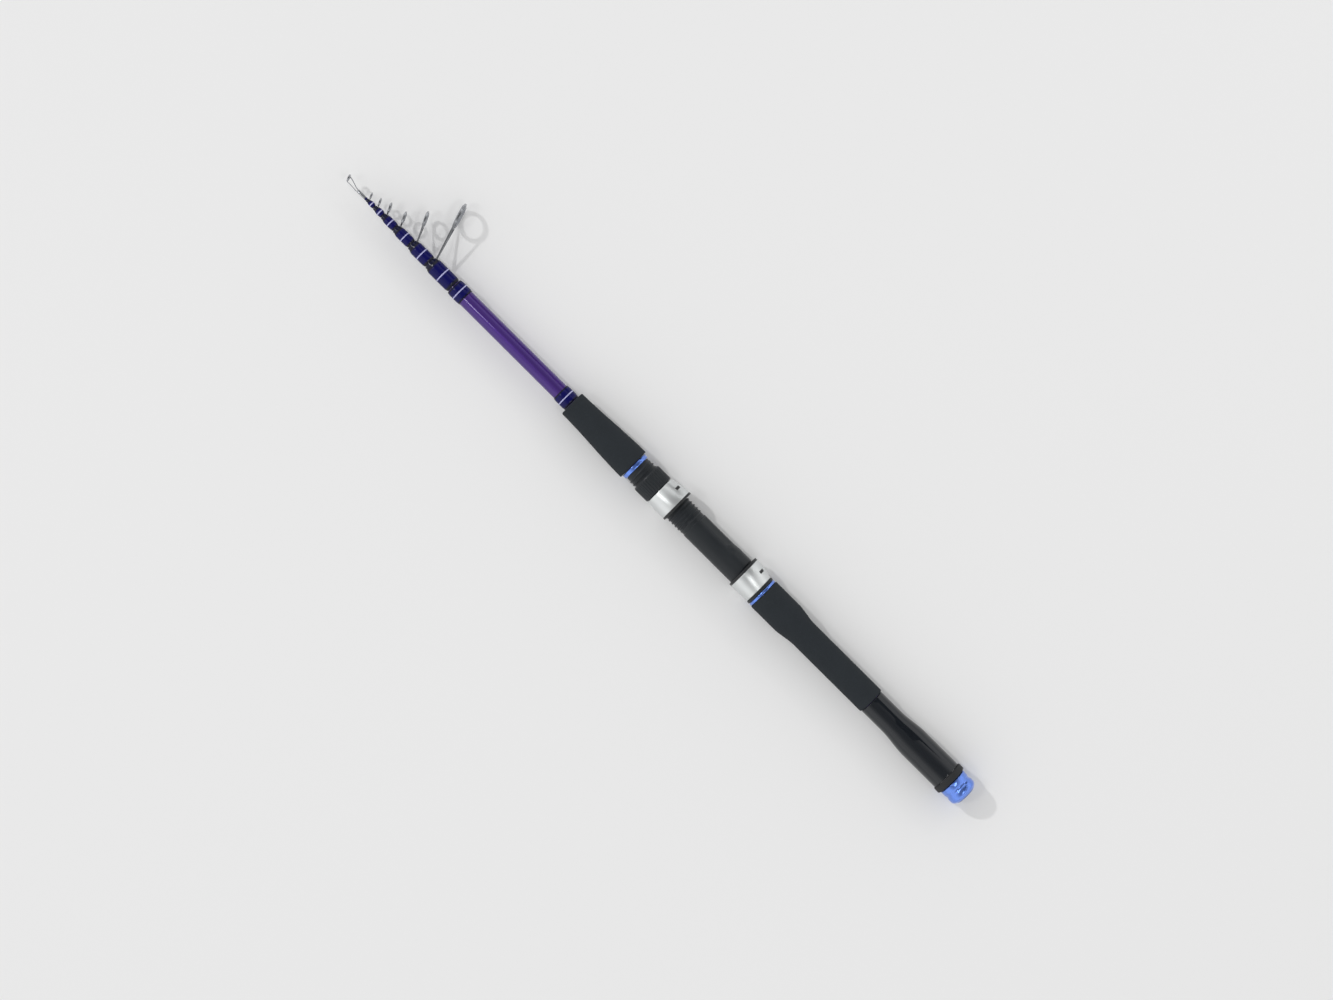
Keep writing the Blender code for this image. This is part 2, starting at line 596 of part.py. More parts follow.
def make_guide(index, finishes, body):
    """A single-foot guide stamped from sheet: foot under the wrap, legs leaning to the tip, a holder.

    Local axes: X along the rod, Y away from it, Z across. The ring is a piece of its own. A tall guide
    has two legs from one fork. A low one is a plate from its foot to where its edges touch the holder.
    """
    which = index - 1
    under, top = foot_heights(index)
    foot_x = SECTION_FRONTS[index] - LEG_SETBACK
    rear_x = SECTION_FRONTS[index - 1] + WRAP_REAR_GAP + WRAP_TAPER / 2 - foot_x
    lean = GUIDE_LEANS[which]
    holder = HOLDER_RADII[which]
    seat = holder - HOLDER_WALLS[which]
    half_thickness = FRAME_THICKNESSES[which] / 2
    foot_half = top * math.tan(math.pi / TUBE_SIDES) - GLUE_GAP / 2
    middle = (under + top) / 2
    base = Vector((0.0, middle, 0.0))
    up = Vector((math.sin(lean), math.cos(lean), 0.0))
    forward = Vector((math.cos(lean), -math.sin(lean), 0.0))
    across = Vector((0.0, 0.0, 1.0))
    reach = (GUIDE_OFFSETS[which] - middle) / math.cos(lean)

    bm = bmesh.new()

    def pair(along, sideways):
        """The back and front points of the sheet at one place."""
        point = base + up * along + across * sideways
        return [bm.verts.new(point + forward * way * half_thickness) for way in (-1, 1)]

    def faces(pairs):
        """The back and front faces of one piece of the sheet."""
        for side in (0, 1):
            bm.faces.new([p[side] for p in pairs])

    def walls(pairs):
        """The edge faces along a row of points."""
        for first, second in zip(pairs, pairs[1:]):
            bm.faces.new((first[0], second[0], second[1], first[1]))

    fork_at = LEG_WIDTHS[which] * LEG_FORK
    forked = reach - holder > 2 * fork_at
    half_step = LEG_WIDTHS[which] / 2 / holder
    join = math.pi / 2 + LEG_JOIN_ANGLE
    if not forked:
        touch = math.pi - math.atan2(foot_half, reach) - math.acos(holder / math.hypot(reach, foot_half))
        join = touch + LEG_TOUCH_MARGIN + half_step
    angles = rim_angles(join, half_step)
    outer = [pair(reach + holder * math.cos(a), holder * math.sin(a)) for a in angles]
    inner = [pair(reach + seat * math.cos(a), seat * math.sin(a)) for a in angles]
    count = len(angles)
    for i in range(count):
        after = (i + 1) % count
        faces((outer[i], outer[after], inner[after], inner[i]))
        walls((inner[i], inner[after]))
    low = outer[:RIM_LOW_SIDES + 1]
    high = outer[RIM_LOW_SIDES + 1:]
    walls(high)

    bend = half_thickness * math.sin(lean)
    rise = ((top - middle - bend) / math.cos(lean), (under - middle + bend) / math.cos(lean))
    ends = []
    for way in (-1, 1):
        side_of_foot = base + across * way * foot_half
        points = [side_of_foot + up * rise[s] + forward * (2 * s - 1) * half_thickness for s in (0, 1)]
        ends.append([bm.verts.new(point) for point in points])
    left, right = ends
    walls((right, high[-1]))
    walls((left, high[0]))
    if forked:
        fork = pair(fork_at, 0.0)
        walls((fork, low[0]))
        walls((fork, low[-1]))
        walls(low)
        faces((right, high[-1], low[0], fork))
        faces((left, fork, low[-1], high[0]))
        faces((left, right, fork))
    else:
        faces((right, high[-1], low[0]))
        faces((left, low[-1], high[0]))
        half = RIM_LOW_SIDES // 2
        for i in range(half):
            faces((right, low[i], low[i + 1]))
            faces((left, low[-1 - i], low[-2 - i]))
        faces((left, right, low[half], low[-1 - half]))

    rear = [[bm.verts.new(Vector((rear_x, y, way * foot_half))) for y in (top, under)] for way in (-1, 1)]
    for side in (0, 1):
        bm.faces.new((rear[0][side], rear[1][side], right[side], left[side]))
    walls((rear[0], rear[1], right))
    walls((rear[0], left))
    place = guide_matrix(foot_x, GUIDE_DIRECTION)
    bmesh.ops.transform(bm, matrix=place, verts=bm.verts)
    add_object(f"guide_frame_{index + 1}", bm, finishes["steel"], body)

    tilt = Matrix.Translation(base + up * reach) @ Matrix.Rotation(-lean, 4, "Z")
    outside = seat - GLUE_GAP
    inside = outside - INSERT_WALLS[which]
    ring = hoop(outside, inside, INSERT_DEPTHS[which], RING_EDGE_SHARE * INSERT_WALLS[which], place @ tilt)
    add_object(f"guide_ring_{index + 1}", ring, finishes["ceramic"], body)


def make_tip_guide(finishes, body):
    """The tip guide: a socket glued over the last tube, three wires and a ring."""
    last = len(SECTION_FRONTS) - 1
    end_x = SECTION_FRONTS[last]
    bore = outside_radius(last, end_x - TIP_SOCKET_LENGTH) + GLUE_GAP
    outer = bore + TIP_SOCKET_WALL
    rear_x = end_x - TIP_SOCKET_LENGTH
    front_x = end_x + 2 * TIP_SOCKET_WALL
    floor_x = end_x + REST_GAP
    bm = bmesh.new()
    rings = [
        add_ring(bm, x, radius, TUBE_SIDES, TUBE_TURN)
        for x, radius in ((floor_x, bore), (rear_x, bore), (rear_x, outer), (front_x, outer))
    ]
    for first, second in zip(rings, rings[1:]):
        bridge(bm, first, second)
    bm.faces.new(rings[0])
    bm.faces.new(rings[-1])
    place = guide_matrix(0.0, GUIDE_DIRECTION)
    up = Vector((math.sin(TIP_LEAN), math.cos(TIP_LEAN), 0.0))
    across = Vector((0.0, 0.0, 1.0))
    centre = Vector((end_x + TIP_GUIDE_REACH, TIP_RING_OFFSET, 0.0))
    tilt = Matrix.Translation(centre) @ Matrix.Rotation(-TIP_LEAN, 4, "Z")
    seat = TIP_HOLDER_RADIUS - TIP_HOLDER_WALL
    rim = hoop(TIP_HOLDER_RADIUS, seat, TIP_HOLDER_DEPTH, TIP_EDGE_SHARE * TIP_HOLDER_WALL, tilt)
    bmesh.ops.transform(rim, matrix=place, verts=rim.verts)
    rim_join = seat + TIP_WIRE_BITE * TIP_WIRE_WIDTH
    root_x = front_x - TIP_SOCKET_WALL
    root_radius = outer - TIP_WIRE_WIDTH / 2
    wires = [rim]
    for angle in (math.pi, TIP_SIDE_WIRE_ANGLE, -TIP_SIDE_WIRE_ANGLE):
        out = Vector((0.0, math.cos(angle), math.sin(angle)))
        start = Vector((root_x, 0.0, 0.0)) + out * root_radius
        end = centre + up * rim_join * math.cos(angle) + across * rim_join * math.sin(angle)
        side = Vector((0.0, -math.sin(angle), math.cos(angle)))
        wire = bar(start, end, side, TIP_WIRE_WIDTH, TIP_WIRE_WIDTH, TIP_WIRE_WIDTH)
        bmesh.ops.transform(wire, matrix=place, verts=wire.verts)
        wires.append(wire)
    add_object("tip_guide_frame", combined(bm, wires, "UNION"), finishes["steel"], body)
    outer = seat - GLUE_GAP
    inner = outer - TIP_INSERT_WALL
    ring = hoop(outer, inner, TIP_INSERT_DEPTH, RING_EDGE_SHARE * TIP_INSERT_WALL, place @ tilt)
    add_object("tip_guide_ring", ring, finishes["ceramic"], body)

    front_x = rear_x - REST_GAP
    rear_x = SECTION_FRONTS[last - 1] + REST_GAP
    bore = outside_radius(last, rear_x) + GLUE_GAP
    outer = bore + TIP_WRAP_WALL
    profile = [(rear_x, outer), (front_x, outer), (front_x, bore), (rear_x, bore)]
    add_object("tip_wrap", turned(profile, TUBE_SIDES, TUBE_TURN), finishes["thread"], body)


def make_butt_end(finishes, seal, cap):
    """The screw cap with its disc, pad and sealing ring, the threaded insert, the ring and the sleeve."""
    disc = [(0.0, END_DISC_RADIUS), (END_DISC_DEPTH, END_DISC_RADIUS)]
    add_object("end_disc", turned(disc, BODY_SIDES, BODY_TURN, bored=False), finishes["rubber"], cap)

    recess_x = END_DISC_DEPTH + GLUE_GAP
    recess = END_DISC_RADIUS + GLUE_GAP
    chamfer_x = CAP_FACE_X + CAP_CHAMFER_LENGTH
    cove = CAP_COVE_WIDTH / 2
    bm = bmesh.new()
    outline = [
        (recess_x, recess),
        (CAP_FACE_X, recess),
        (CAP_FACE_X, CAP_FACE_RADIUS),
        (chamfer_x, CAP_RADIUS - CAP_COVE_DEPTH),
        (chamfer_x + CAP_COVE_DEPTH, CAP_RADIUS),
        (CAP_COVE_X - cove, CAP_RADIUS),
        (CAP_COVE_X - cove / 2, CAP_RADIUS - CAP_COVE_DEPTH),
        (CAP_COVE_X + cove / 2, CAP_RADIUS - CAP_COVE_DEPTH),
        (CAP_COVE_X + cove, CAP_RADIUS),
        (CAP_FLANGE_X - CAP_EDGE_LENGTH, CAP_RADIUS),
        (CAP_FLANGE_X, CAP_RADIUS - CAP_EDGE_DROP),
        (CAP_FLANGE_X, CAP_THREAD_ROOT),
        (CAP_THREAD_X, CAP_THREAD_ROOT),
    ]
    rings = [add_ring(bm, x, radius, BODY_SIDES, BODY_TURN) for x, radius in outline]
    for first, second in zip(rings, rings[1:]):
        bridge(bm, first, second)
    after = add_ring(bm, CAP_THREAD_END_X, CAP_THREAD_ROOT, BODY_SIDES, BODY_TURN)
    add_thread(
        bm,
        rings[-1],
        after,
        CAP_THREAD_X,
        CAP_THREAD_TURNS,
        CAP_THREAD_PITCH,
        CAP_THREAD_ROOT,
        CAP_THREAD_CREST,
        0.0,
        BODY_SIDES,
        BODY_TURN,
    )
    stem = [
        (CAP_STEM_END_X, CAP_THREAD_ROOT),
        (CAP_STEM_END_X, CAP_BORE_RADIUS),
        (CAP_BORE_FLOOR_X, CAP_BORE_RADIUS),
    ]
    more = [add_ring(bm, x, radius, BODY_SIDES, BODY_TURN) for x, radius in stem]
    for first, second in zip([after, *more], more):
        bridge(bm, first, second)
    bm.faces.new(rings[0])
    bm.faces.new(more[-1])
    add_object("butt_cap", bm, finishes["blue"], cap)

    flange_x = CAP_STEM_END_X + REST_GAP
    plug = CAP_BORE_RADIUS - GLUE_GAP
    pad = [
        (flange_x - PAD_PLUG_LENGTH, plug),
        (flange_x, plug),
        (flange_x, PAD_RADIUS),
        (PAD_FACE_X, PAD_RADIUS),
    ]
    add_object("cap_pad", turned(pad, BODY_SIDES, BODY_TURN, bored=False), finishes["rubber"], cap)

    inner = CAP_THREAD_ROOT + SLIDE_GAP
    middle = CAP_FLANGE_X + GLUE_GAP + O_RING_WIDTH / 2
    seat = Matrix.Translation((middle, 0.0, 0.0))
    edge = RING_EDGE_SHARE * O_RING_WIDTH
    o_ring = hoop(inner + O_RING_WALL, inner, O_RING_WIDTH, edge, seat, BODY_SIDES)
    add_object("cap_sealing_ring", o_ring, finishes["rubber"], seal)

    base = CAP_THREAD_CREST + THREAD_CLEARANCE
    ridge = CAP_THREAD_ROOT + THREAD_CLEARANCE
    bm = bmesh.new()
    outline = [
        (INSERT_END_X, base),
        (INSERT_END_X, INSERT_RADIUS),
        (INSERT_X, INSERT_RADIUS),
        (INSERT_X, base),
    ]
    rings = [add_ring(bm, x, radius, BODY_SIDES, BODY_TURN) for x, radius in outline]
    for first, second in zip(rings, rings[1:]):
        bridge(bm, first, second)
    add_thread(
        bm,
        rings[-1],
        rings[0],
        INSERT_X + REST_GAP,
        CAP_THREAD_TURNS,
        CAP_THREAD_PITCH,
        base,
        ridge,
        CAP_THREAD_PITCH / 2,
        BODY_SIDES,
        BODY_TURN,
    )
    add_object("threaded_insert", bm, finishes["alloy"])

    inner = INSERT_RADIUS + GLUE_GAP
    seat = Matrix.Translation((BUTT_RING_X + BUTT_RING_LENGTH / 2, 0.0, 0.0))
    edge = CHECK_EDGE_SHARE * BUTT_RING_LENGTH
    bm = hoop(GRIP_RADIUS, inner, BUTT_RING_LENGTH, edge, Matrix.Identity(4), BODY_SIDES)
    bmesh.ops.rotate(bm, cent=(0.0, 0.0, 0.0), matrix=Matrix.Rotation(BODY_TURN, 3, "X"), verts=bm.verts)
    bmesh.ops.transform(bm, matrix=seat, verts=bm.verts)
    add_object("butt_ring", bm, finishes["rubber"])

    start = BUTT_RING_END_X + REST_GAP
    step_x = INSERT_END_X + 2 * REST_GAP
    narrow = BUTT_RADIUS + GLUE_GAP
    third = (SLEEVE_NECK_X - SLEEVE_FLARE_X) / 3
    drop = SLEEVE_RADIUS - SLEEVE_NECK_RADIUS
    outline = [
        (start, SLEEVE_RADIUS),
        (SLEEVE_FLARE_X, SLEEVE_RADIUS),
        (SLEEVE_FLARE_X + third, SLEEVE_RADIUS - drop / 4),
        (SLEEVE_NECK_X - third, SLEEVE_NECK_RADIUS + drop / 4),
        (SLEEVE_NECK_X, SLEEVE_NECK_RADIUS),
        (SLEEVE_END_X, SLEEVE_NECK_RADIUS),
        (SLEEVE_END_X, blank_radius(SLEEVE_END_X) + GLUE_GAP),
        (step_x, narrow),
        (step_x, inner),
        (start, inner),
    ]
    add_object("butt_sleeve", turned(outline, BODY_SIDES, BODY_TURN), finishes["black_gloss"])


def make_grips(finishes):
    """The two foam grips, bored to the taper of the butt tube."""
    start = SLEEVE_END_X + REST_GAP
    narrow = REAR_GRIP_NARROW_RADIUS
    outline = [
        (start, narrow - GRIP_EDGE / 2),
        (start + GRIP_EDGE / 2, narrow),
        (REAR_GRIP_CONE_X, narrow),
        (REAR_GRIP_WIDE_X, GRIP_RADIUS),
        (REAR_GRIP_END_X, GRIP_RADIUS),
        (REAR_GRIP_END_X, blank_radius(REAR_GRIP_END_X) + GLUE_GAP),
        (start, blank_radius(start) + GLUE_GAP),
    ]
    add_object("rear_grip", turned(outline, BODY_SIDES, BODY_TURN), finishes["foam"])

    outline = [(FORE_GRIP_X, GRIP_RADIUS)]
    for share in GRIP_CURVE_SHARES:
        eased = share * share * (3 - 2 * share)
        radius = GRIP_RADIUS + eased * (FORE_GRIP_END_RADIUS - GRIP_RADIUS)
        outline.append((FORE_GRIP_X + share * FORE_GRIP_LENGTH, radius))
    outline.append((FORE_GRIP_END_X, FORE_GRIP_END_RADIUS - GRIP_EDGE / 2))
    outline.append((FORE_GRIP_END_X, blank_radius(FORE_GRIP_END_X) + GLUE_GAP))
    outline.append((FORE_GRIP_X, blank_radius(FORE_GRIP_X) + GLUE_GAP))
    add_object("fore_grip", turned(outline, BODY_SIDES, BODY_TURN), finishes["foam"])


def away_from_reel(angle):
    """Angle from the reel's side of the seat."""
    return abs((angle - REEL_DIRECTION + math.pi) % (2 * math.pi) - math.pi)


def bed_radius(angle):
    """The barrel's round, cut flat under the reel's foot."""
    half = 2 * math.pi / BODY_SIDES
    flat = BARREL_RADIUS * math.cos(half)
    away = away_from_reel(angle)
    return flat / math.cos(away) if away < half else BARREL_RADIUS


def ramp_radius(angle):
    """The barrel's round, lifted on the reel's side to guide the foot into the fixed hood."""
    share = min(1.0, away_from_reel(angle) / RAMP_HALF_ANGLE)
    return BARREL_RADIUS + RAMP_HEIGHT * math.cos(share * math.pi / 2)


def make_barrel(finishes):
    """The reel seat's threaded barrel, with its ramp, bed, thread and front spigot."""
    fall = RAMP_LENGTH / 3
    spigot_end = FRONT_CHECK_X + FRONT_CHECK_LENGTH
    outline = [
        (BARREL_FRONT_X, BARREL_THREAD_ROOT),
        (BARREL_FRONT_X, BARREL_SPIGOT_RADIUS),
        (spigot_end, BARREL_SPIGOT_RADIUS),
        (spigot_end, BARREL_BORE_RADIUS),
        (BARREL_X, BARREL_BORE_RADIUS),
        (BARREL_X, BARREL_RADIUS),
        (RAMP_FROM_X, BARREL_RADIUS),
        (RAMP_FROM_X + REST_GAP, ramp_radius),
        (RAMP_TO_X - fall, ramp_radius),
        (RAMP_TO_X, BARREL_RADIUS),
        (BED_FROM_X, bed_radius),
        (BED_TO_X, bed_radius),
        (BED_TO_X + REST_GAP, BARREL_RADIUS),
        (BARREL_THREAD_X - REST_GAP, BARREL_RADIUS),
        (BARREL_THREAD_X, BARREL_THREAD_ROOT),
    ]
    turns = int(BARREL_THREAD_LENGTH / BARREL_THREAD_PITCH) - 2
    bm = bmesh.new()
    rings = [add_ring(bm, x, radius, BODY_SIDES, SEAT_TURN) for x, radius in outline]
    for first, second in zip(rings, rings[1:]):
        bridge(bm, first, second)
    add_thread(
        bm,
        rings[-1],
        rings[0],
        BARREL_THREAD_X,
        turns,
        BARREL_THREAD_PITCH,
        BARREL_THREAD_ROOT,
        BARREL_THREAD_CREST,
        0.0,
        BODY_SIDES,
        SEAT_TURN,
    )
    add_object("reel_seat_barrel", bm, finishes["seat"])

    front_arbor_x = BARREL_FRONT_X - ARBOR_INSET - ARBOR_LENGTH
    for name, x in (("rear_arbor", BARREL_X + ARBOR_INSET), ("front_arbor", front_arbor_x)):
        end = x + ARBOR_LENGTH
        outer = BARREL_BORE_RADIUS - GLUE_GAP
        inner = [(at, blank_radius(at) + GLUE_GAP) for at in (end, x)]
        profile = [(x, outer), (end, outer), *inner]
        add_object(name, turned(profile, BODY_SIDES, SEAT_TURN), finishes["liner"])


def plain_ring(x, length, outer, inner):
    """A ring over the barrel with chamfered edges."""
    edge = CHECK_EDGE_SHARE * length
    profile = [
        (x, outer - edge),
        (x + edge, outer),
        (x + length - edge, outer),
        (x + length, outer - edge),
        (x + length, inner),
        (x, inner),
    ]
    return turned(profile, BODY_SIDES, SEAT_TURN)


def make_checks(finishes):
    """The blue checks at both ends of the reel seat and the black collar behind the fixed hood."""
    inner = BARREL_RADIUS + GLUE_GAP
    made = plain_ring(BARREL_X, REAR_CHECK_LENGTH, CHECK_RADIUS, inner)
    add_object("rear_check", made, finishes["blue"])
    made = plain_ring(COLLAR_X, COLLAR_LENGTH, CHECK_RADIUS, inner)
    add_object("hood_collar", made, finishes["seat"])
    inner = BARREL_SPIGOT_RADIUS + GLUE_GAP
    made = plain_ring(FRONT_CHECK_X, FRONT_CHECK_LENGTH, FRONT_CHECK_RADIUS, inner)
    add_object("front_check", made, finishes["blue"])


def off_centre(radius, offset, least=0.0):
    """Radius by angle of a circle whose centre is moved to the reel's side, never under the least."""

    def at(angle):
        away = angle - REEL_DIRECTION
        reach = offset * math.cos(away) + math.sqrt(radius**2 - (offset * math.sin(away)) ** 2)
        return max(reach, least)

    return at


def hood_circle(share, inset):
    """Radius and offset of the hood's outside at a share of the way from its neck to its mouth."""
    eased = math.sin(share * math.pi / 2)
    radius = HOOD_NECK_RADIUS + eased * (HOOD_MOUTH_RADIUS - HOOD_NECK_RADIUS)
    return radius - inset, eased * HOOD_MOUTH_OFFSET


def make_hood(prefix, neck_x, way, bore, finishes, body=None):
    """A metal hood over a plastic liner, open at its mouth for one end of a reel's foot.

    way is 1 when the mouth faces the tip and -1 when it faces the butt.
    """
    shares = [i / (HOOD_STATIONS - 1) for i in range(HOOD_STATIONS)]

    def outline_at(inset):
        """The hood's outline from neck to mouth, set in from its outside."""
        places = [neck_x + way * share * HOOD_LENGTH for share in shares]
        return [(x, off_centre(*hood_circle(share, inset))) for x, share in zip(places, shares)]

    shell = turned(outline_at(0.0) + outline_at(HOOD_WALL)[::-1], BODY_SIDES, SEAT_TURN)
    middle_x = neck_x + way * HOOD_LENGTH / 2
    toward = Vector((0.0, math.cos(REEL_DIRECTION), math.sin(REEL_DIRECTION)))
    across = Vector((0.0, -toward.z, toward.y))
    low = Vector((middle_x, 0.0, 0.0)) + toward * HOOD_NECK_RADIUS / 2
    high = low + toward * 2 * HOOD_MOUTH_RADIUS
    cutter = bar(low, high, across, SLOT_WIDTH, SLOT_WIDTH, SLOT_LENGTH)
    add_object(f"{prefix}_shell", combined(shell, [cutter], "DIFFERENCE"), finishes["silver"], body)

    mouth_x = neck_x + way * (HOOD_LENGTH + HOOD_LIP)
    lip_x = neck_x + way * (HOOD_LENGTH + GLUE_GAP)
    face = off_centre(HOOD_MOUTH_RADIUS, HOOD_MOUTH_OFFSET)
    inset = HOOD_WALL + LINER_GAP
    outline = outline_at(inset)
    pocket = HOOD_MOUTH_RADIUS - inset - LINER_WALL
    back_x = neck_x + way * HOOD_FLOOR_SHARE * HOOD_LENGTH
    step_x = neck_x + way * HOOD_STEP_SHARE * HOOD_LENGTH
    outline[-1] = (lip_x, outline[-1][1])
    outline += [(lip_x, face), (mouth_x, face)]
    outline += [
        (mouth_x, off_centre(pocket, HOOD_MOUTH_OFFSET, bore)),
        (step_x, off_centre(pocket - LINER_WALL, HOOD_MOUTH_OFFSET, bore)),
        (back_x, bore),
        (neck_x, bore),
    ]
    add_object(f"{prefix}_liner", turned(outline, BODY_SIDES, SEAT_TURN), finishes["liner"], body)


def make_nut(finishes, body):
    """The ribbed locking nut, threaded to the barrel."""
    rear_x = SLIDING_HOOD_X + NUT_GAP
    front_x = rear_x + NUT_LENGTH
    base = BARREL_THREAD_CREST + THREAD_CLEARANCE
    ridge = BARREL_THREAD_ROOT + THREAD_CLEARANCE
    half_side = math.pi / NUT_SIDES

    def ribbed(angle):
        side = round((angle - SEAT_TURN) / (2 * half_side))
        return NUT_RADIUS - (NUT_KNURL_DEPTH if side % 2 else 0.0)

    plain = NUT_RADIUS - NUT_KNURL_DEPTH
    outline = [
        (front_x, base),
        (front_x, plain - NUT_CHAMFER / 2),
        (front_x - NUT_CHAMFER, plain),
        (front_x - NUT_CHAMFER - REST_GAP, ribbed),
        (rear_x + NUT_CHAMFER / 2 + REST_GAP, ribbed),
        (rear_x + NUT_CHAMFER / 2, plain),
        (rear_x, plain),
        (rear_x, base),
    ]
    bm = bmesh.new()
    rings = [add_ring(bm, x, radius, NUT_SIDES, SEAT_TURN) for x, radius in outline]
    for first, second in zip(rings, rings[1:]):
        bridge(bm, first, second)
    add_thread(
        bm,
        rings[-1],
        rings[0],
        rear_x + REST_GAP,
        NUT_THREAD_TURNS,
        BARREL_THREAD_PITCH,
        base,
        ridge,
        BARREL_THREAD_PITCH / 2,
        NUT_SIDES,
        SEAT_TURN,
    )
    add_object("locking_nut", bm, finishes["seat"], body)


def main():
    for existing in list(bpy.data.objects):
        bpy.data.objects.remove(existing)
    finishes = {
        "purple": material("purple_blank", (0.067, 0.034, 0.168), 0.25, 0.5),
        "navy": material("dark_blank", (0.012, 0.010, 0.045), 0.2),
        "thread": material("navy_thread", (0.017, 0.016, 0.11), 0.3),
        "band": material("silver_band", (0.48, 0.48, 0.75), 0.3, 0.6),
        "steel": material("polished_steel", (0.55, 0.56, 0.58), 0.15, 1.0),
        "ceramic": material("guide_ring", (0.25, 0.26, 0.28), 0.2, 0.4),
        "foam": material("grip_foam", (0.022, 0.028, 0.032), 0.85),
        "seat": material("seat_plastic", (0.026, 0.031, 0.036), 0.35),
        "liner": material("liner_plastic", (0.02, 0.022, 0.025), 0.5),
        "silver": material("silver_hood", (0.6, 0.61, 0.62), 0.2, 1.0),
        "blue": material("blue_anodised", (0.11, 0.2, 0.55), 0.25, 0.9),
        "black_gloss": material("black_gloss", (0.02, 0.022, 0.027), 0.12),
        "rubber": material("black_rubber", (0.018, 0.018, 0.02), 0.7),
        "alloy": material("plain_alloy", (0.5, 0.5, 0.52), 0.35, 1.0),
    }
    bodies = [None]
    for index in range(1, len(SECTION_FRONTS)):
        bodies.append(joint_empty(f"section_{index + 1}_slide", SECTION_REAR_X))
    hood = joint_empty("sliding_hood_slide", SLIDING_HOOD_X)
    nut = joint_empty("locking_nut_turn", SLIDING_HOOD_X + NUT_GAP)
    seal = joint_empty("cap_slide", CAP_FLANGE_X)
    cap = joint_empty("cap_turn", CAP_FLANGE_X)

    make_sections(finishes, bodies)
    make_wraps(finishes, bodies)
    for index in range(1, len(WRAP_RADII)):
        make_guide(index, finishes, bodies[index])
    make_tip_guide(finishes, bodies[-1])
    make_butt_end(finishes, seal, cap)
    make_grips(finishes)
    make_barrel(finishes)
    make_checks(finishes)
    make_hood("fixed_hood", FIXED_HOOD_X, 1, BARREL_RADIUS + GLUE_GAP, finishes)
    make_hood("sliding_hood", SLIDING_HOOD_X, -1, BARREL_THREAD_CREST + SLIDE_GAP, finishes, hood)
    make_nut(finishes, nut)


main()
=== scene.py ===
"""A telescopic spinning rod, closed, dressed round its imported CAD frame.

Every size is in metres. X runs along the rod from the butt to the tip, Z is up from the floor, and
the line guides point towards -Y. Angles round the rod are measured from +Y towards +Z.
"""

import math
from collections import namedtuple

import bmesh
import bpy
import numpy as np
from mathutils import Matrix, Vector


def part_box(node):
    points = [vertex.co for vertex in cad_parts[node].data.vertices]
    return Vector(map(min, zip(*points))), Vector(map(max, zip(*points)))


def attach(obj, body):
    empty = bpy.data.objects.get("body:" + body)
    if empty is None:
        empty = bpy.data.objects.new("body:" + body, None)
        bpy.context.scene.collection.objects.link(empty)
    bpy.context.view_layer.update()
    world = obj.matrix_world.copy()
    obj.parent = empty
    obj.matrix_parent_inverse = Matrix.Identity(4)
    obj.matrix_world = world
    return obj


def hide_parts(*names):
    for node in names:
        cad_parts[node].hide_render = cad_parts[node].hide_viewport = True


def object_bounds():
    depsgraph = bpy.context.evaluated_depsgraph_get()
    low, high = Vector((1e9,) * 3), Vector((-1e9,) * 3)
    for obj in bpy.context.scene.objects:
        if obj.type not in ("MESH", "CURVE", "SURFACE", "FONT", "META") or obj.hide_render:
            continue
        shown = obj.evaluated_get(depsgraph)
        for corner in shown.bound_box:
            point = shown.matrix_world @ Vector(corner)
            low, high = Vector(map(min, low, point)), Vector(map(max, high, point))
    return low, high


bl_info = {
    "name": "Telescopic spinning rod",
    "version": (1, 0, 0),
    "blender": (4, 5, 0),
    "location": "3D View > Sidebar > Rod",
    "description": "Makes a closed telescopic rod with its guides, reel seat, grips and screw cap",
    "category": "Object",
}

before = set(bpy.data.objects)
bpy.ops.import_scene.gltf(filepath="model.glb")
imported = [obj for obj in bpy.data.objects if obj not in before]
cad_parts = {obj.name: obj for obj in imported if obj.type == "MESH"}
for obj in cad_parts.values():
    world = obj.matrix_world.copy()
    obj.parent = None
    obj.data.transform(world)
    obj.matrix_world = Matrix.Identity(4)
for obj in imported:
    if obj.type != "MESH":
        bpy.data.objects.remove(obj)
CAD_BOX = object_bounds()

MM = 0.001
FULL_TURN = 2 * math.pi
HALF_TURN = math.pi

# Directions round the rod: where the guides point, and the middle of the reel's side of the seat.
GUIDE_DIRECTION = math.radians(183.518)
REEL_DIRECTION = math.radians(142.0)

# The middle tubes that carry a guide, and all the tubes that slide.
GUIDED = range(2, 8)
SLIDING = range(2, 9)

# Mesh steps.
ROUND_SIDES = 96
SMALL_SIDES = 48
CORNER_STEPS = 5
SHARP_ANGLE = math.radians(32.0)
MERGE_REACH = 0.0005 * MM


def span(node):
    """Where a CAD node starts and ends along the rod."""
    low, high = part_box(node)
    return low.x, high.x


def stations(node):
    """The places along the rod where a CAD node has points, with its least and largest radius there."""
    found = {}
    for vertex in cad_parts[node].data.vertices:
        x, y, z = vertex.co
        key = round(x / MM, 2)
        least, largest = found.get(key, (math.inf, 0.0))
        radius = math.hypot(y, z)
        found[key] = (min(least, radius), max(largest, radius))
    return [(key * MM, *found[key]) for key in sorted(found)]


def reach(node):
    """The largest radius of a CAD node."""
    return max(largest for _, _, largest in stations(node))


def away_from(direction, angle):
    """Angle between two directions round the rod, never negative."""
    return np.abs((angle - direction + HALF_TURN) % FULL_TURN - HALF_TURN)


def eased(share):
    """A share of the way, started and ended softly."""
    share = np.clip(share, 0.0, 1.0)
    return share * share * (3.0 - 2.0 * share)


# Node trees


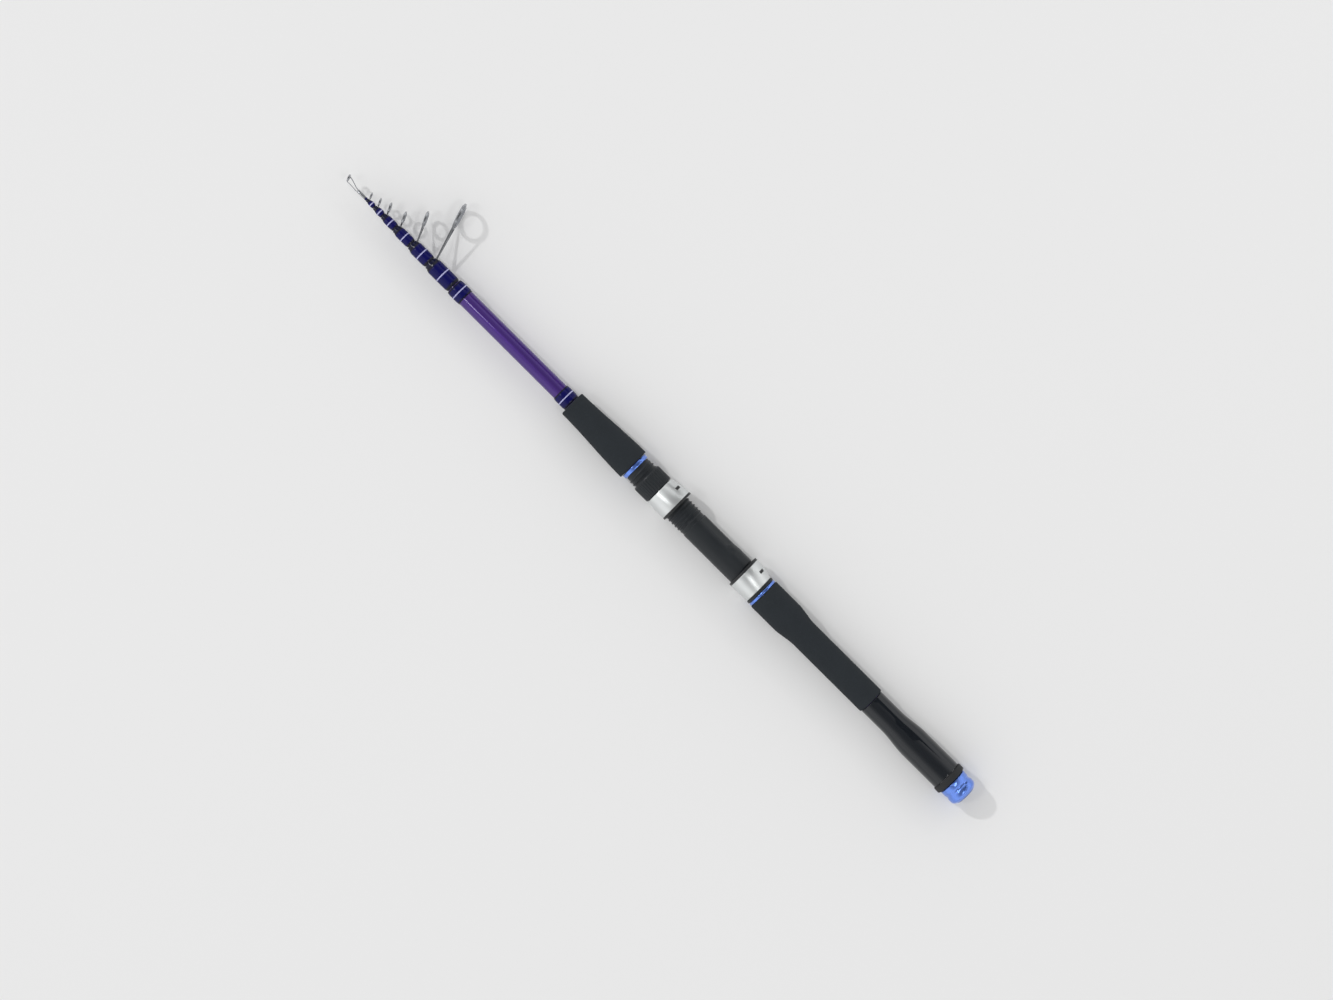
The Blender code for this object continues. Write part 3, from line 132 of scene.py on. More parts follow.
class Wire:
    """One output of a node, so that sums of patterns read as plain arithmetic."""

    def __init__(self, bench, socket):
        self.bench = bench
        self.socket = socket

    def maths(self, operation, *values, clamp=False):
        settings = {"operation": operation, "use_clamp": clamp}
        return self.bench.add("ShaderNodeMath", settings, dict(enumerate(values)))

    def __add__(self, other):
        return self.maths("ADD", self, other)

    def __radd__(self, other):
        return self.maths("ADD", other, self)

    def __sub__(self, other):
        return self.maths("SUBTRACT", self, other)

    def __rsub__(self, other):
        return self.maths("SUBTRACT", other, self)

    def __mul__(self, other):
        return self.maths("MULTIPLY", self, other)

    def __rmul__(self, other):
        return self.maths("MULTIPLY", other, self)

    def __truediv__(self, other):
        return self.maths("DIVIDE", self, other)

    def __abs__(self):
        return self.maths("ABSOLUTE", self)

    def clamped(self):
        return self.maths("ADD", self, 0.0, clamp=True)

    def fraction(self):
        return self.maths("FRACT", self)

    def sine(self):
        return self.maths("SINE", self)

    def power(self, exponent):
        return self.maths("POWER", self, exponent)

    def angle_to(self, other):
        """Angle of the point (other, self)."""
        return self.maths("ARCTAN2", self, other)

    def softened(self):
        """Eases a share between 0 and 1."""
        share = self.clamped()
        return share * share * (3.0 - 2.0 * share)


class Bench:
    """A node tree that is being wired."""

    def __init__(self, tree):
        self.tree = tree

    def add(self, kind, settings=None, values=None, out=0):
        """Adds a node, sets it, feeds its sockets and gives back one of its outputs."""
        node = self.tree.nodes.new(kind)
        for key, value in (settings or {}).items():
            setattr(node, key, value)
        for key, value in (values or {}).items():
            self.feed(node.inputs[key], value)
        return Wire(self, node.outputs[out]) if node.outputs else None

    def feed(self, slot, value):
        if isinstance(value, Wire):
            self.tree.links.new(value.socket, slot)
        else:
            slot.default_value = value

    def split(self, vector):
        """The three parts of a vector."""
        first = self.add("ShaderNodeSeparateXYZ", values={"Vector": vector})
        return [Wire(self, socket) for socket in first.socket.node.outputs]

    def joined(self, x, y, z):
        return self.add("ShaderNodeCombineXYZ", values={"X": x, "Y": y, "Z": z})

    def mixed(self, share, first, second):
        """A colour between two colours."""
        values = {0: share, 6: first, 7: second}
        return self.add("ShaderNodeMix", {"data_type": "RGBA"}, values, out=2)

    def noise(self, place, grains, detail, stretch=None):
        """Even noise from 0 to 1 with a number of grains for each metre."""
        if stretch is not None:
            values = {"Vector": place, "Scale": stretch}
            place = self.add("ShaderNodeMapping", {"vector_type": "POINT"}, values)
        values = {"Vector": place, "Scale": grains, "Detail": detail}
        return self.add("ShaderNodeTexNoise", values=values)

    def cells(self, place, grains):
        """Distance from the middle of the nearest cell, from 0 to about 1."""
        return self.add("ShaderNodeTexVoronoi", values={"Vector": place, "Scale": grains})

    def bump(self, height, depth, strength):
        values = {"Height": height, "Distance": depth, "Strength": strength}
        return self.add("ShaderNodeBump", values=values)


def rgba(colour, share=1.0):
    """A colour with its alpha, lighter or darker by a share."""
    return (*[min(1.0, part * share) for part in colour], 1.0)


def finish(name, colour, roughness, pattern=None, **sockets):
    """A material with plain values on its shader, and a pattern that feeds some of them."""
    made = bpy.data.materials.new(name)
    made.use_nodes = True
    shader = made.node_tree.nodes["Principled BSDF"]
    plain = {"Base Color": rgba(colour), "Roughness": roughness}
    plain.update({key.replace("_", " "): value for key, value in sockets.items()})
    for key, value in plain.items():
        shader.inputs[key].default_value = value
    made.diffuse_color = rgba(colour)
    if pattern is not None:
        bench = Bench(made.node_tree)
        place = bench.add("ShaderNodeTexCoord", out=3)
        for key, value in pattern(bench, place, colour).items():
            bench.feed(shader.inputs[key], value)
    return made


# What the patterns of the finishes are made of. Lengths are in metres.
FLAKE_LEVEL = 0.62
FLAKE_GAIN = 2.2
# Near-black of the painted shade over a wrap's tapered ends, and how soon along the wrap it gives way to the
# thread's colour.
PAINTED_END_SHADE_COLOUR = (0.006, 0.006, 0.016)
WINDING_END_GAIN = 4.5
WINDING_END_LEVEL = 0.35
TWISTS_ROUND = 90.0
TWIST_SLANT = 0.12 * MM
FOAM_FINE_GRAINS = 2.6
LATHE_GROOVE = 0.14 * MM


def around(bench, place):
    """Place along the rod, distance from its axis and turns round it."""
    x, y, z = bench.split(place)
    radius = (y * y + z * z).power(0.5)
    turns = z.angle_to(y) / FULL_TURN
    return x, radius, turns


def paint_pattern(bench, place, colour):
    """Metallic paint: fine flakes that catch the light, and a slow drift of depth along the tube."""
    flakes = bench.noise(place, grains=5200.0, detail=1.0)
    drift = bench.noise(place, grains=60.0, detail=2.0, stretch=(0.3, 1.0, 1.0))
    sparkle = (flakes - FLAKE_LEVEL).clamped() * FLAKE_GAIN
    depth = 0.92 + 0.16 * drift
    base = bench.mixed(sparkle, rgba(colour, 0.94), rgba(colour, 2.0))
    values = {"Vector": base, "Scale": depth}
    shaded = bench.add("ShaderNodeVectorMath", {"operation": "SCALE"}, values)
    return {"Base Color": shaded, "Roughness": 0.3 + 0.1 * flakes}


def lacquer_pattern(bench, place, colour):
    """Gloss over a dark tube: faint dust and polishing haze."""
    haze = bench.noise(place, grains=900.0, detail=3.0, stretch=(0.2, 1.0, 1.0))
    base = bench.mixed(haze, rgba(colour, 0.8), rgba(colour, 1.3))
    return {"Base Color": base, "Roughness": 0.2 + 0.12 * haze}


def winding_pattern(thread):
    """Thread wound side by side under clear varnish, with painted shade darkening it over the tapers at its
    ends.
    """

    def pattern(bench, place, colour):
        x, _, turns = around(bench, place)
        share = bench.split(bench.add("ShaderNodeTexCoord", out=2))[0]
        lay = (x / thread + turns) * FULL_TURN
        strands = 0.5 + 0.5 * lay.sine()
        middle = 1.0 - abs(share - 0.5) * 2.0
        # Painted shade: the colour falls to a near-black towards both ends of the wrap, over its tapers.
        body = (middle * WINDING_END_GAIN - WINDING_END_LEVEL).softened()
        wear = bench.noise(place, grains=1500.0, detail=2.0)
        bright = bench.mixed(strands * 0.5 + wear * 0.3, rgba(colour, 0.62), rgba(colour, 1.25))
        base = bench.mixed(body, rgba(PAINTED_END_SHADE_COLOUR), bright)
        return {"Base Color": base, "Normal": bench.bump(strands, depth=0.02 * MM, strength=0.6)}

    return pattern


def trim_pattern(bench, place, colour):
    """Metallic trim thread, twisted along its length."""
    _, radius, turns = around(bench, place)
    twist = ((turns * TWISTS_ROUND + radius / TWIST_SLANT) * FULL_TURN).sine() * 0.5 + 0.5
    base = bench.mixed(twist, rgba(colour, 0.8), rgba(colour, 1.12))
    return {"Base Color": base, "Normal": bench.bump(twist, depth=0.01 * MM, strength=0.5)}


def steel_pattern(bench, place, colour):
    """Polished stainless sheet with the faint lines of the buffing wheel."""
    lines = bench.noise(place, grains=700.0, detail=2.0, stretch=(1.0, 6.0, 6.0))
    spots = bench.noise(place, grains=180.0, detail=3.0)
    base = bench.mixed(spots, rgba(colour, 0.86), rgba(colour, 1.1))
    return {"Base Color": base, "Roughness": 0.1 + 0.14 * lines}


def ceramic_pattern(bench, place, colour):
    """Ground and polished ceramic: a dense, slightly clouded grey."""
    cloud = bench.noise(place, grains=450.0, detail=3.0)
    base = bench.mixed(cloud, rgba(colour, 0.8), rgba(colour, 1.25))
    return {"Base Color": base, "Roughness": 0.12 + 0.1 * cloud}


def foam_pattern(grain):
    """Ground foam: small closed cells, cut open at the skin, with painted shade in their hollows and a
    painted lighter rim round each.
    """

    def pattern(bench, place, colour):
        cells = bench.cells(place, 1.0 / grain)
        fine = bench.noise(place, grains=FOAM_FINE_GRAINS / grain, detail=3.0)
        slow = bench.noise(place, grains=90.0, detail=3.0)
        # Painted shade: each cell's hollow is darkened and its rim lightened, on top of random tone from the
        # two noises.
        pit_shade_and_tone = cells * 0.45 + fine * 0.4 + slow * 0.25
        base = bench.mixed(pit_shade_and_tone, rgba(colour, 0.52), rgba(colour, 1.5))
        height = cells * 0.6 + fine * 0.5
        return {"Base Color": base, "Normal": bench.bump(height, depth=0.12 * MM, strength=0.7)}

    return pattern


def moulding_pattern(bench, place, colour):
    """Satin moulded plastic with a fine spark-eroded grain."""
    grain = bench.noise(place, grains=4200.0, detail=2.0)
    slow = bench.noise(place, grains=120.0, detail=2.0)
    base = bench.mixed(grain * 0.5 + slow * 0.5, rgba(colour, 0.8), rgba(colour, 1.2))
    normal = bench.bump(grain, depth=0.015 * MM, strength=0.5)
    return {"Base Color": base, "Roughness": 0.33 + 0.14 * slow, "Normal": normal}


def plated_pattern(bench, place, colour):
    """Bright nickel plate over a spun shell: faint lines round it."""
    x, _, _ = around(bench, place)
    lines = bench.noise(bench.joined(x, 0.0, 0.0), grains=5200.0, detail=3.0)
    cloud = bench.noise(place, grains=140.0, detail=2.0)
    base = bench.mixed(cloud, rgba(colour, 0.93), rgba(colour, 1.05))
    return {"Base Color": base, "Roughness": 0.3 + 0.12 * lines}


def turned_pattern(bench, place, colour):
    """Anodised metal with the lathe's fine grooves, and paler rubbed high spots."""
    x, radius, _ = around(bench, place)
    grooves = ((x + radius) * (FULL_TURN / LATHE_GROOVE)).sine() * 0.5 + 0.5
    cloud = bench.noise(place, grains=300.0, detail=3.0)
    base = bench.mixed(cloud * 0.7 + grooves * 0.2, rgba(colour, 0.85), rgba(colour, 1.15))
    normal = bench.bump(grooves, depth=0.004 * MM, strength=0.25)
    return {"Base Color": base, "Roughness": 0.16 + 0.14 * cloud, "Normal": normal}


def rubber_pattern(bench, place, colour):
    """Moulded rubber: dull, a little dusty."""
    dust = bench.noise(place, grains=1600.0, detail=4.0)
    base = bench.mixed(dust, rgba(colour, 0.7), rgba(colour, 1.5))
    return {"Base Color": base, "Normal": bench.bump(dust, depth=0.03 * MM, strength=0.5)}


def make_finishes(scene):
    """One material for each of the record's slots, made once and found again by name."""
    made = {}
    colours = scene.rod_colours
    sizes = scene.rod_sizes
    gloss = {"Coat_Weight": 1.0, "Coat_Roughness": 0.035, "Coat_IOR": 1.45, "Specular_IOR_Level": 0.0}
    varnish = {**gloss, "Coat_Roughness": 0.22, "Coat_Weight": 0.5}
    trim = {"Metallic": 0.35, "Coat_Weight": 0.6, "Specular_IOR_Level": 0.2}
    anodised = {"Metallic": 0.85, "Coat_Weight": 0.5, "Coat_Roughness": 0.08}
    # For each slot: its roughness, its pattern and the other values of its shader.
    plans = {
        "purple_blank": (0.34, paint_pattern, {"Metallic": 0.55, **gloss, "Coat_Weight": 0.7}),
        "dark_blank": (0.25, lacquer_pattern, {**gloss, "Coat_Weight": 0.65}),
        "navy_thread": (0.45, winding_pattern(sizes.winding_thread), varnish),
        "silver_band": (0.35, trim_pattern, trim),
        "polished_steel": (0.16, steel_pattern, {"Metallic": 1.0}),
        "guide_ring": (0.15, ceramic_pattern, {"Metallic": 0.25, "Coat_Weight": 0.5}),
        "grip_foam": (0.88, foam_pattern(sizes.foam_grain), {"Specular_IOR_Level": 0.25}),
        "seat_plastic": (0.38, moulding_pattern, {"Specular_IOR_Level": 0.3}),
        "liner_plastic": (0.45, moulding_pattern, {}),
        "silver_hood": (0.2, plated_pattern, {"Metallic": 1.0}),
        "blue_anodised": (0.22, turned_pattern, anodised),
        "black_gloss": (0.2, lacquer_pattern, gloss),
        "black_rubber": (0.6, rubber_pattern, {"Specular_IOR_Level": 0.35}),
        "plain_alloy": (0.3, turned_pattern, {"Metallic": 1.0}),
    }
    for slot, (roughness, pattern, sockets) in plans.items():
        found = bpy.data.materials.get(f"{slot}_finish")
        colour = tuple(getattr(colours, slot))
        made[slot] = found or finish(f"{slot}_finish", colour, roughness, pattern, **sockets)
    return made


# Meshes


# A corner's curve takes no more than this share of either side.
MOST_CUT = 0.49


def rounded(corners, closed=True, steps=CORNER_STEPS):
    """Outline points from (x, radius, setback) corners, with a curve at each corner that has a setback."""
    count = len(corners)
    points = []
    for i, (x, radius, *back) in enumerate(corners):
        here = Vector((x, radius))
        at_end = not closed and i in (0, count - 1)
        if not back or not back[0] or at_end:
            points.append((x, radius))
            continue
        before = Vector(corners[i - 1][:2]) - here
        after = Vector(corners[(i + 1) % count][:2]) - here
        cut = min(back[0], MOST_CUT * before.length, MOST_CUT * after.length)
        start = here + before.normalized() * cut
        end = here + after.normalized() * cut
        for step in range(steps + 1):
            share = step / steps
            at = start * (1 - share) ** 2 + here * 2 * share * (1 - share) + end * share**2
            points.append((at.x, at.y))
    return points


def refined(outline, step, closed=True):
    """The same outline with no stretch longer than a step."""
    points = []
    pairs = list(zip(outline, outline[1:]))
    if closed:
        pairs.append((outline[-1], outline[0]))
    for (x, radius), (next_x, next_radius) in pairs:
        count = max(1, math.ceil(math.hypot(next_x - x, next_radius - radius) / step))
        for i in range(count):
            share = i / count
            points.append((x + share * (next_x - x), radius + share * (next_radius - radius)))
    if not closed:
        points.append(outline[-1])
    return points


def mesh_from_grid(name, points, closed=True, left_out=None):
    """A mesh round the rod from rows of points, with a UV map: along in U, round in V.

    Rows run so that the first goes towards the tip on the outside. left_out(row, side) is true for
    a face that isn't made.
    """
    rows, sides, _ = points.shape
    along = points[:, :, 0].mean(axis=1)
    share = (along - along.min()) / max(along.max() - along.min(), MERGE_REACH)
    faces = []
    spots = []
    for row in range(rows if closed else rows - 1):
        after = (row + 1) % rows
        for side in range(sides):
            if left_out is not None and left_out(row, side):
                continue
            beside = (side + 1) % sides
            near, far = row * sides, after * sides
            faces.append((near + side, near + beside, far + beside, far + side))
            low, high = side / sides, (side + 1) / sides
            spots += [(share[row], low), (share[row], high), (share[after], high), (share[after], low)]
    mesh = bpy.data.meshes.new(name)
    mesh.from_pydata(points.reshape(-1, 3).tolist(), [], faces)
    layer = mesh.uv_layers.new(name="UVMap")
    layer.data.foreach_set("uv", np.array(spots, np.float32).ravel())
    merged(mesh)
    return mesh


def merged(mesh):
    """Joins points at one place, which closes the poles."""
    bm = bmesh.new()
    bm.from_mesh(mesh)
    bmesh.ops.remove_doubles(bm, verts=bm.verts, dist=MERGE_REACH)
    bm.to_mesh(mesh)
    bm.free()


def turned(name, outline, closed=True, shape=None, sides=ROUND_SIDES, turn=0.0):
    """A mesh turned about the rod's axis. shape(x, angle, radius) may change the radius."""
    angles = turn + np.arange(sides) * FULL_TURN / sides
    x = np.array([point[0] for point in outline])[:, None]
    radius = np.repeat(np.array([point[1] for point in outline])[:, None], sides, axis=1)
    if shape is not None:
        radius = shape(x, angles[None, :], radius)
    points = [np.repeat(x, sides, axis=1), radius * np.cos(angles), radius * np.sin(angles)]
    return mesh_from_grid(name, np.stack(points, axis=-1), closed)


def off_centre(angles, radius, offset, least):
    """Distance from the axis of a circle moved towards the reel's side, never under the least."""
    away = angles - REEL_DIRECTION
    out = offset * np.cos(away) + np.sqrt(radius**2 - (offset * np.sin(away)) ** 2)
    return np.maximum(out, least)


def lofted(name, rows, angles, closed=True, left_out=None):
    """A mesh through (x, radius, offset, least) circles."""
    points = []
    for x, radius, offset, least in rows:
        out = off_centre(angles, radius, offset, least)
        circle = [np.full(len(angles), x), out * np.cos(angles), out * np.sin(angles)]
        points.append(np.stack(circle, axis=-1))
    return mesh_from_grid(name, np.array(points), closed, left_out)


def one_mesh(name, meshes):
    """Several closed meshes as one."""
    bm = bmesh.new()
    for mesh in meshes:
        bm.from_mesh(mesh)
        bpy.data.meshes.remove(mesh)
    joined = bpy.data.meshes.new(name)
    bm.to_mesh(joined)
    bm.free()
    return joined


def softened(piece, width, segments):
    """Rounds a piece's sharp edges."""
    bevel = piece.modifiers.new("soft_edges", "BEVEL")
    bevel.width = width
    bevel.segments = segments
    bevel.limit_method = "ANGLE"
    bevel.angle_limit = SHARP_ANGLE
    bevel.harden_normals = False


def dressed(name, mesh, finishes, slot, body, node):
    """Puts a mesh in the scene with its slot's finish, riding on its body in place of its CAD node."""
    mesh.shade_smooth()
    mesh.set_sharp_from_angle(angle=SHARP_ANGLE)
    if not mesh.materials:
        mesh.materials.append(finishes[slot])
    piece = bpy.data.objects.new(name, mesh)
    bpy.context.scene.collection.objects.link(piece)
    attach(piece, body)
    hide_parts(node)
    return piece


# Geometry Nodes trees


SOCKETS = {"g": "NodeSocketGeometry", "f": "NodeSocketFloat", "i": "NodeSocketInt", "m": "NodeSocketMaterial"}


def start_tree(name, inputs):
    """A tree with named inputs. Gives its bench and its inputs as wires."""
    tree = bpy.data.node_groups.new(name, "GeometryNodeTree")
    for label, kind in inputs.items():
        tree.interface.new_socket(label, in_out="INPUT", socket_type=SOCKETS[kind])
    tree.interface.new_socket("Piece", in_out="OUTPUT", socket_type=SOCKETS["g"])
    bench = Bench(tree)
    given = bench.add("NodeGroupInput").socket.node
    return bench, {label: Wire(bench, given.outputs[label]) for label in inputs}


def end_tree(bench, geometry, material):
    """Real geometry with its material on, as the tree's result."""
    real = bench.add("GeometryNodeRealizeInstances", values={"Geometry": geometry})
    dressed = bench.add("GeometryNodeSetMaterial", values={"Geometry": real, "Material": material})
    bench.add("NodeGroupOutput", values={"Piece": dressed})
    return bench.tree


def grown(name, tree, mesh, values):
    """Runs a tree once on a mesh and keeps what it makes as a plain mesh."""
    piece = bpy.data.objects.new(name, mesh)
    bpy.context.scene.collection.objects.link(piece)
    step = piece.modifiers.new(tree.name, "NODES")
    step.node_group = tree
    for item in tree.interface.items_tree:
        if item.name in values:
            step[item.identifier] = values[item.name]
    graph = bpy.context.evaluated_depsgraph_get()
    result = bpy.data.meshes.new_from_object(piece.evaluated_get(graph))
    bpy.data.objects.remove(piece)
    bpy.data.meshes.remove(mesh)
    if not result.polygons:
        raise RuntimeError(f"{tree.name} made nothing for {name}")
    result.name = name
    return result


LATHE_CORE = 1.0 * MM


def lathe_tree():
    """Turns a drawn outline about the rod's axis: the tubes of the blank."""
    bench, given = start_tree("blank_lathe", {"Outline": "g", "Sides": "i", "Finish": "m"})
    outline = bench.add("GeometryNodeMeshToCurve", values={"Mesh": given["Outline"]})
    values = {"Resolution": given["Sides"], "Radius": LATHE_CORE}
    core = bench.add("GeometryNodeCurvePrimitiveCircle", {"mode": "RADIUS"}, values)
    swept = bench.add("GeometryNodeCurveToMesh", values={"Curve": core, "Profile Curve": outline})
    values = {"Geometry": swept, "Rotation": (0.0, HALF_TURN / 2, 0.0)}
    laid = bench.add("GeometryNodeTransform", values=values)
    values = {"Geometry": laid, "Distance": MERGE_REACH}
    closed = bench.add("GeometryNodeMergeByDistance", values=values)
    outward = bench.add("GeometryNodeFlipFaces", values={"Mesh": closed})
    return end_tree(bench, outward, given["Finish"])


def radial_shift(bench, body, rise):
    """Moves each point of a body away from the rod's axis by a rise."""
    x, y, z = bench.split(bench.add("GeometryNodeInputPosition"))
    radius = (y * y + z * z).power(0.5)
    away = bench.joined(0.0, y / radius, z / radius)
    values = {0: away, "Scale": rise(x, radius, z.angle_to(y) / FULL_TURN)}
    shift = bench.add("ShaderNodeVectorMath", {"operation": "SCALE"}, values)
    return bench.add("GeometryNodeSetPosition", values={"Geometry": body, "Offset": shift})


def run_share(x, given, fade):
    """1 on a worked stretch of a body, falling to 0 within a fade of both its ends."""
    return ((x - given["From"]) / fade).clamped() * ((given["To"] - x) / fade).clamped()


CREST_SHARE = 0.14
ROOT_SHARE = 0.3


def screw_tree():
    """Raises a right-handed screw thread on a plain turned body, run out softly at both ends."""
    inputs = {"Body": "g", "Pitch": "f", "Depth": "f", "From": "f", "To": "f", "Least": "f", "Finish": "m"}
    bench, given = start_tree("screw_thread", inputs)

    def rise(x, radius, turns):
        lay = (x / given["Pitch"] - turns + 0.5).fraction()
        ridge = ((ROOT_SHARE - abs(lay - 0.5)) / (ROOT_SHARE - CREST_SHARE)).softened()
        runs = run_share(x, given, given["Pitch"])
        outside = radius.maths("GREATER_THAN", radius, given["Least"])
        return ridge * runs.softened() * given["Depth"] * outside

    return end_tree(bench, radial_shift(bench, given["Body"], rise), given["Finish"])


FLUTE_GAIN = 1.6
FLUTE_LEVEL = 0.3


def rib_tree():
    """Cuts flutes round a turned body, which leaves ribs for the fingers."""
    inputs = {"Body": "g", "Ribs": "i", "Depth": "f", "From": "f", "To": "f", "Fade": "f"}
    bench, given = start_tree("finger_ribs", {**inputs, "Least": "f", "Finish": "m"})

    def rise(x, radius, turns):
        wave = (turns * given["Ribs"] * FULL_TURN).sine() * 0.5 + 0.5
        flute = (wave * FLUTE_GAIN - FLUTE_LEVEL).softened()
        runs = run_share(x, given, given["Fade"])
        outside = radius.maths("GREATER_THAN", radius, given["Least"])
        return flute * runs * outside * given["Depth"] * -1.0

    return end_tree(bench, radial_shift(bench, given["Body"], rise), given["Finish"])


BUMP_HALF_ANGLE = math.radians(34.0)
STRAND_SIDES = 10
TURN_STEPS = 72


def winding_tree():
    """Winds trim thread round a wrap in a spiral, lifted where the wrap covers a guide's foot."""
    inputs = {"Start": "f", "Turns": "f", "Radius": "f", "Lift": "f", "Strand": "f", "Finish": "m"}
    bench, given = start_tree("trim_winding", {"Drawing": "g", **inputs})
    radius, strand = given["Radius"], given["Strand"]
    values = {"Resolution": TURN_STEPS, "Rotations": given["Turns"], "Start Radius": radius}
    values.update({"End Radius": radius, "Height": given["Turns"] * strand * 2.0})
    spiral = bench.add("GeometryNodeCurveSpiral", values=values)
    y, z, x = bench.split(bench.add("GeometryNodeInputPosition"))
    turned_away = (z.angle_to(y) - GUIDE_DIRECTION) / FULL_TURN + 0.5
    away = abs(turned_away.fraction() - 0.5) * FULL_TURN
    bump = (1.0 - away / BUMP_HALF_ANGLE).softened()
    grow = (radius + given["Lift"] * bump) / radius
    place = bench.joined(x + given["Start"], y * grow, z * grow)
    laid = bench.add("GeometryNodeSetPosition", values={"Geometry": spiral, "Position": place})
    values = {"Resolution": STRAND_SIDES, "Radius": strand}
    section = bench.add("GeometryNodeCurvePrimitiveCircle", {"mode": "RADIUS"}, values)
    values = {"Curve": laid, "Profile Curve": section, "Fill Caps": True}
    return end_tree(bench, bench.add("GeometryNodeCurveToMesh", values=values), given["Finish"])


def wire_tree():
    """Sweeps a round wire along a drawn path."""
    bench, given = start_tree("bent_wire", {"Path": "g", "Radius": "f", "Sides": "i", "Finish": "m"})
    path = bench.add("GeometryNodeMeshToCurve", values={"Mesh": given["Path"]})
    values = {"Resolution": given["Sides"], "Radius": given["Radius"]}
    section = bench.add("GeometryNodeCurvePrimitiveCircle", {"mode": "RADIUS"}, values)
    values = {"Curve": path, "Profile Curve": section, "Fill Caps": True}
    return end_tree(bench, bench.add("GeometryNodeCurveToMesh", values=values), given["Finish"])


def drawing(name, points, closed):
    """A line of points as a mesh of edges."""
    mesh = bpy.data.meshes.new(name)
    edges = [(i, i + 1) for i in range(len(points) - 1)]
    if closed:
        edges.append((len(points) - 1, 0))
    mesh.from_pydata([tuple(point) for point in points], edges, [])
    return mesh


# Blank and windings


FRONT_EDGE = 0.12 * MM
FRONT_EDGE_STEPS = 3
# A tube whose least radius at its front is over this share of the largest there is solid.
SOLID_SHARE = 0.999


def make_blank(context):
    """The purple butt tube and the seven dark tubes that slide inside each other."""
    finishes = make_finishes(context.scene)
    tree = lathe_tree()
    names = ["butt_section"] + [f"section_{k}" for k in SLIDING]
    for node in names:
        places = stations(node)
        outer = [(x, largest) for x, _, largest in places]
        inner = [(x, least) for x, least, _ in reversed(places)]
        hollow = inner[0][1] < SOLID_SHARE * outer[-1][1]
        outer[-1] = (*outer[-1], FRONT_EDGE)
        corners = outer + [(inner[0][0], inner[0][1], FRONT_EDGE), *inner[1:]]
        if not hollow:
            corners = [(outer[0][0], 0.0), *outer, (outer[-1][0], 0.0)]
        outline = rounded(corners, hollow, FRONT_EDGE_STEPS)
        drawn = drawing(node, [(radius - LATHE_CORE, -x, 0.0) for x, radius in outline], hollow)
        slot = "purple_blank" if node == "butt_section" else "dark_blank"
        values = {"Sides": ROUND_SIDES, "Finish": finishes[slot]}
        mesh = grown(f"{node}_tube", tree, drawn, values)
        dressed(f"{node}_tube", mesh, finishes, slot, "butt" if node == "butt_section" else node, node)


WRAP_CURVE = 1.3 * MM
WRAP_END_WALL = 0.12 * MM
WRAP_SINK = 0.1 * MM
WRAP_STEP = 0.4 * MM
WRAP_TAPER = 2.0 * MM
WRAP_EDGE = 0.1 * MM
# A short wrap's taper is a share of its length, and its curve is a share of its taper.
TAPER_SHARE = 0.3
CURVE_SHARE = 0.7
FOOT_LIFTS = {4: 0.12 * MM, 5: 0.22 * MM, 6: 0.31 * MM, 7: 0.37 * MM}
LIFT_FADE = 2.0 * MM


def wrap_lift(lift, start, end):
    """Radius over a guide's foot: a soft ridge on the guides' side, run out at both ends."""

    def shape(x, angle, radius):
        over = eased(1.0 - away_from(GUIDE_DIRECTION, angle) / BUMP_HALF_ANGLE)
        along = eased((x - start) / LIFT_FADE) * eased((end - x) / LIFT_FADE)
        return radius + lift * over * along

    return shape


def make_windings(context):
    """The varnished thread wraps at the front of each tube, each with its band of trim thread."""
    finishes = make_finishes(context.scene)
    sizes = context.scene.rod_sizes
    tree = winding_tree()
    wraps = [("wrap_1_rear", "band_1_rear", 1), ("wrap_1_front", "band_1_front", 1)]
    wraps += [(f"wrap_{k}", f"band_{k}", k) for k in GUIDED] + [("tip_wrap", None, SLIDING[-1])]
    for node, band, k in wraps:
        body = "butt" if k == 1 else f"section_{k}"
        start, end = span(node)
        places = stations(node)
        bore = min(least for _, least, _ in places) - WRAP_SINK
        edge = bore + WRAP_SINK + WRAP_END_WALL
        lift = FOOT_LIFTS.get(k, 0.0)
        radius = reach(node) - lift
        taper = min(WRAP_TAPER, (end - start) * TAPER_SHARE)
        curve = min(WRAP_CURVE, taper * CURVE_SHARE)
        corners = [
            (start, edge, WRAP_EDGE),
            (start + taper, radius, curve),
            (end - taper, radius, curve),
            (end, edge, WRAP_EDGE),
            (end, bore),
            (start, bore),
        ]
        outline = refined(rounded(corners), WRAP_STEP)
        mesh = turned(f"{node}_wound", outline, shape=wrap_lift(lift, start, end) if lift else None)
        dressed(f"{node}_wound", mesh, finishes, "navy_thread", body, node)
        if band is None:
            continue
        strand = sizes.trim_thread / 2
        middle = sum(span(band)) / 2
        values = {"Start": middle - sizes.trim_turns * strand, "Turns": float(sizes.trim_turns)}
        values.update({"Radius": radius, "Lift": lift, "Strand": strand, "Finish": finishes["silver_band"]})
        mesh = grown(f"{band}_wound", tree, drawing(band, [(0.0, 0.0, 0.0)], False), values)
        dressed(f"{band}_wound", mesh, finishes, "silver_band", body, band)


# Guides


Guide = namedtuple("Guide", "offset holder lean wall insert depth sheet under")

# In millimetres and degrees, from the largest guide to the smallest. The offset is from the rod's
# axis to the middle of the ring, and under is from the axis to the foot. The holder is the frame's
# radius round the ring, and the wall its width there. A guide leans towards the tip.
GUIDES = {
    2: Guide(38.5, 10.4, 17.0, 1.1, 1.5, 2.8, 1.4, 5.22),
    3: Guide(19.8, 6.3, 25.0, 0.9, 1.1, 2.2, 1.2, 4.28),
    4: Guide(9.7, 4.9, 24.0, 0.7, 0.9, 1.8, 1.0, 3.39),
    5: Guide(7.6, 4.0, 24.0, 0.6, 0.75, 1.6, 0.9, 2.65),
    6: Guide(5.5, 3.1, 24.0, 0.45, 0.65, 1.3, 0.75, 2.01),
    7: Guide(4.2, 2.6, 24.0, 0.4, 0.55, 1.2, 0.65, 1.43),
}
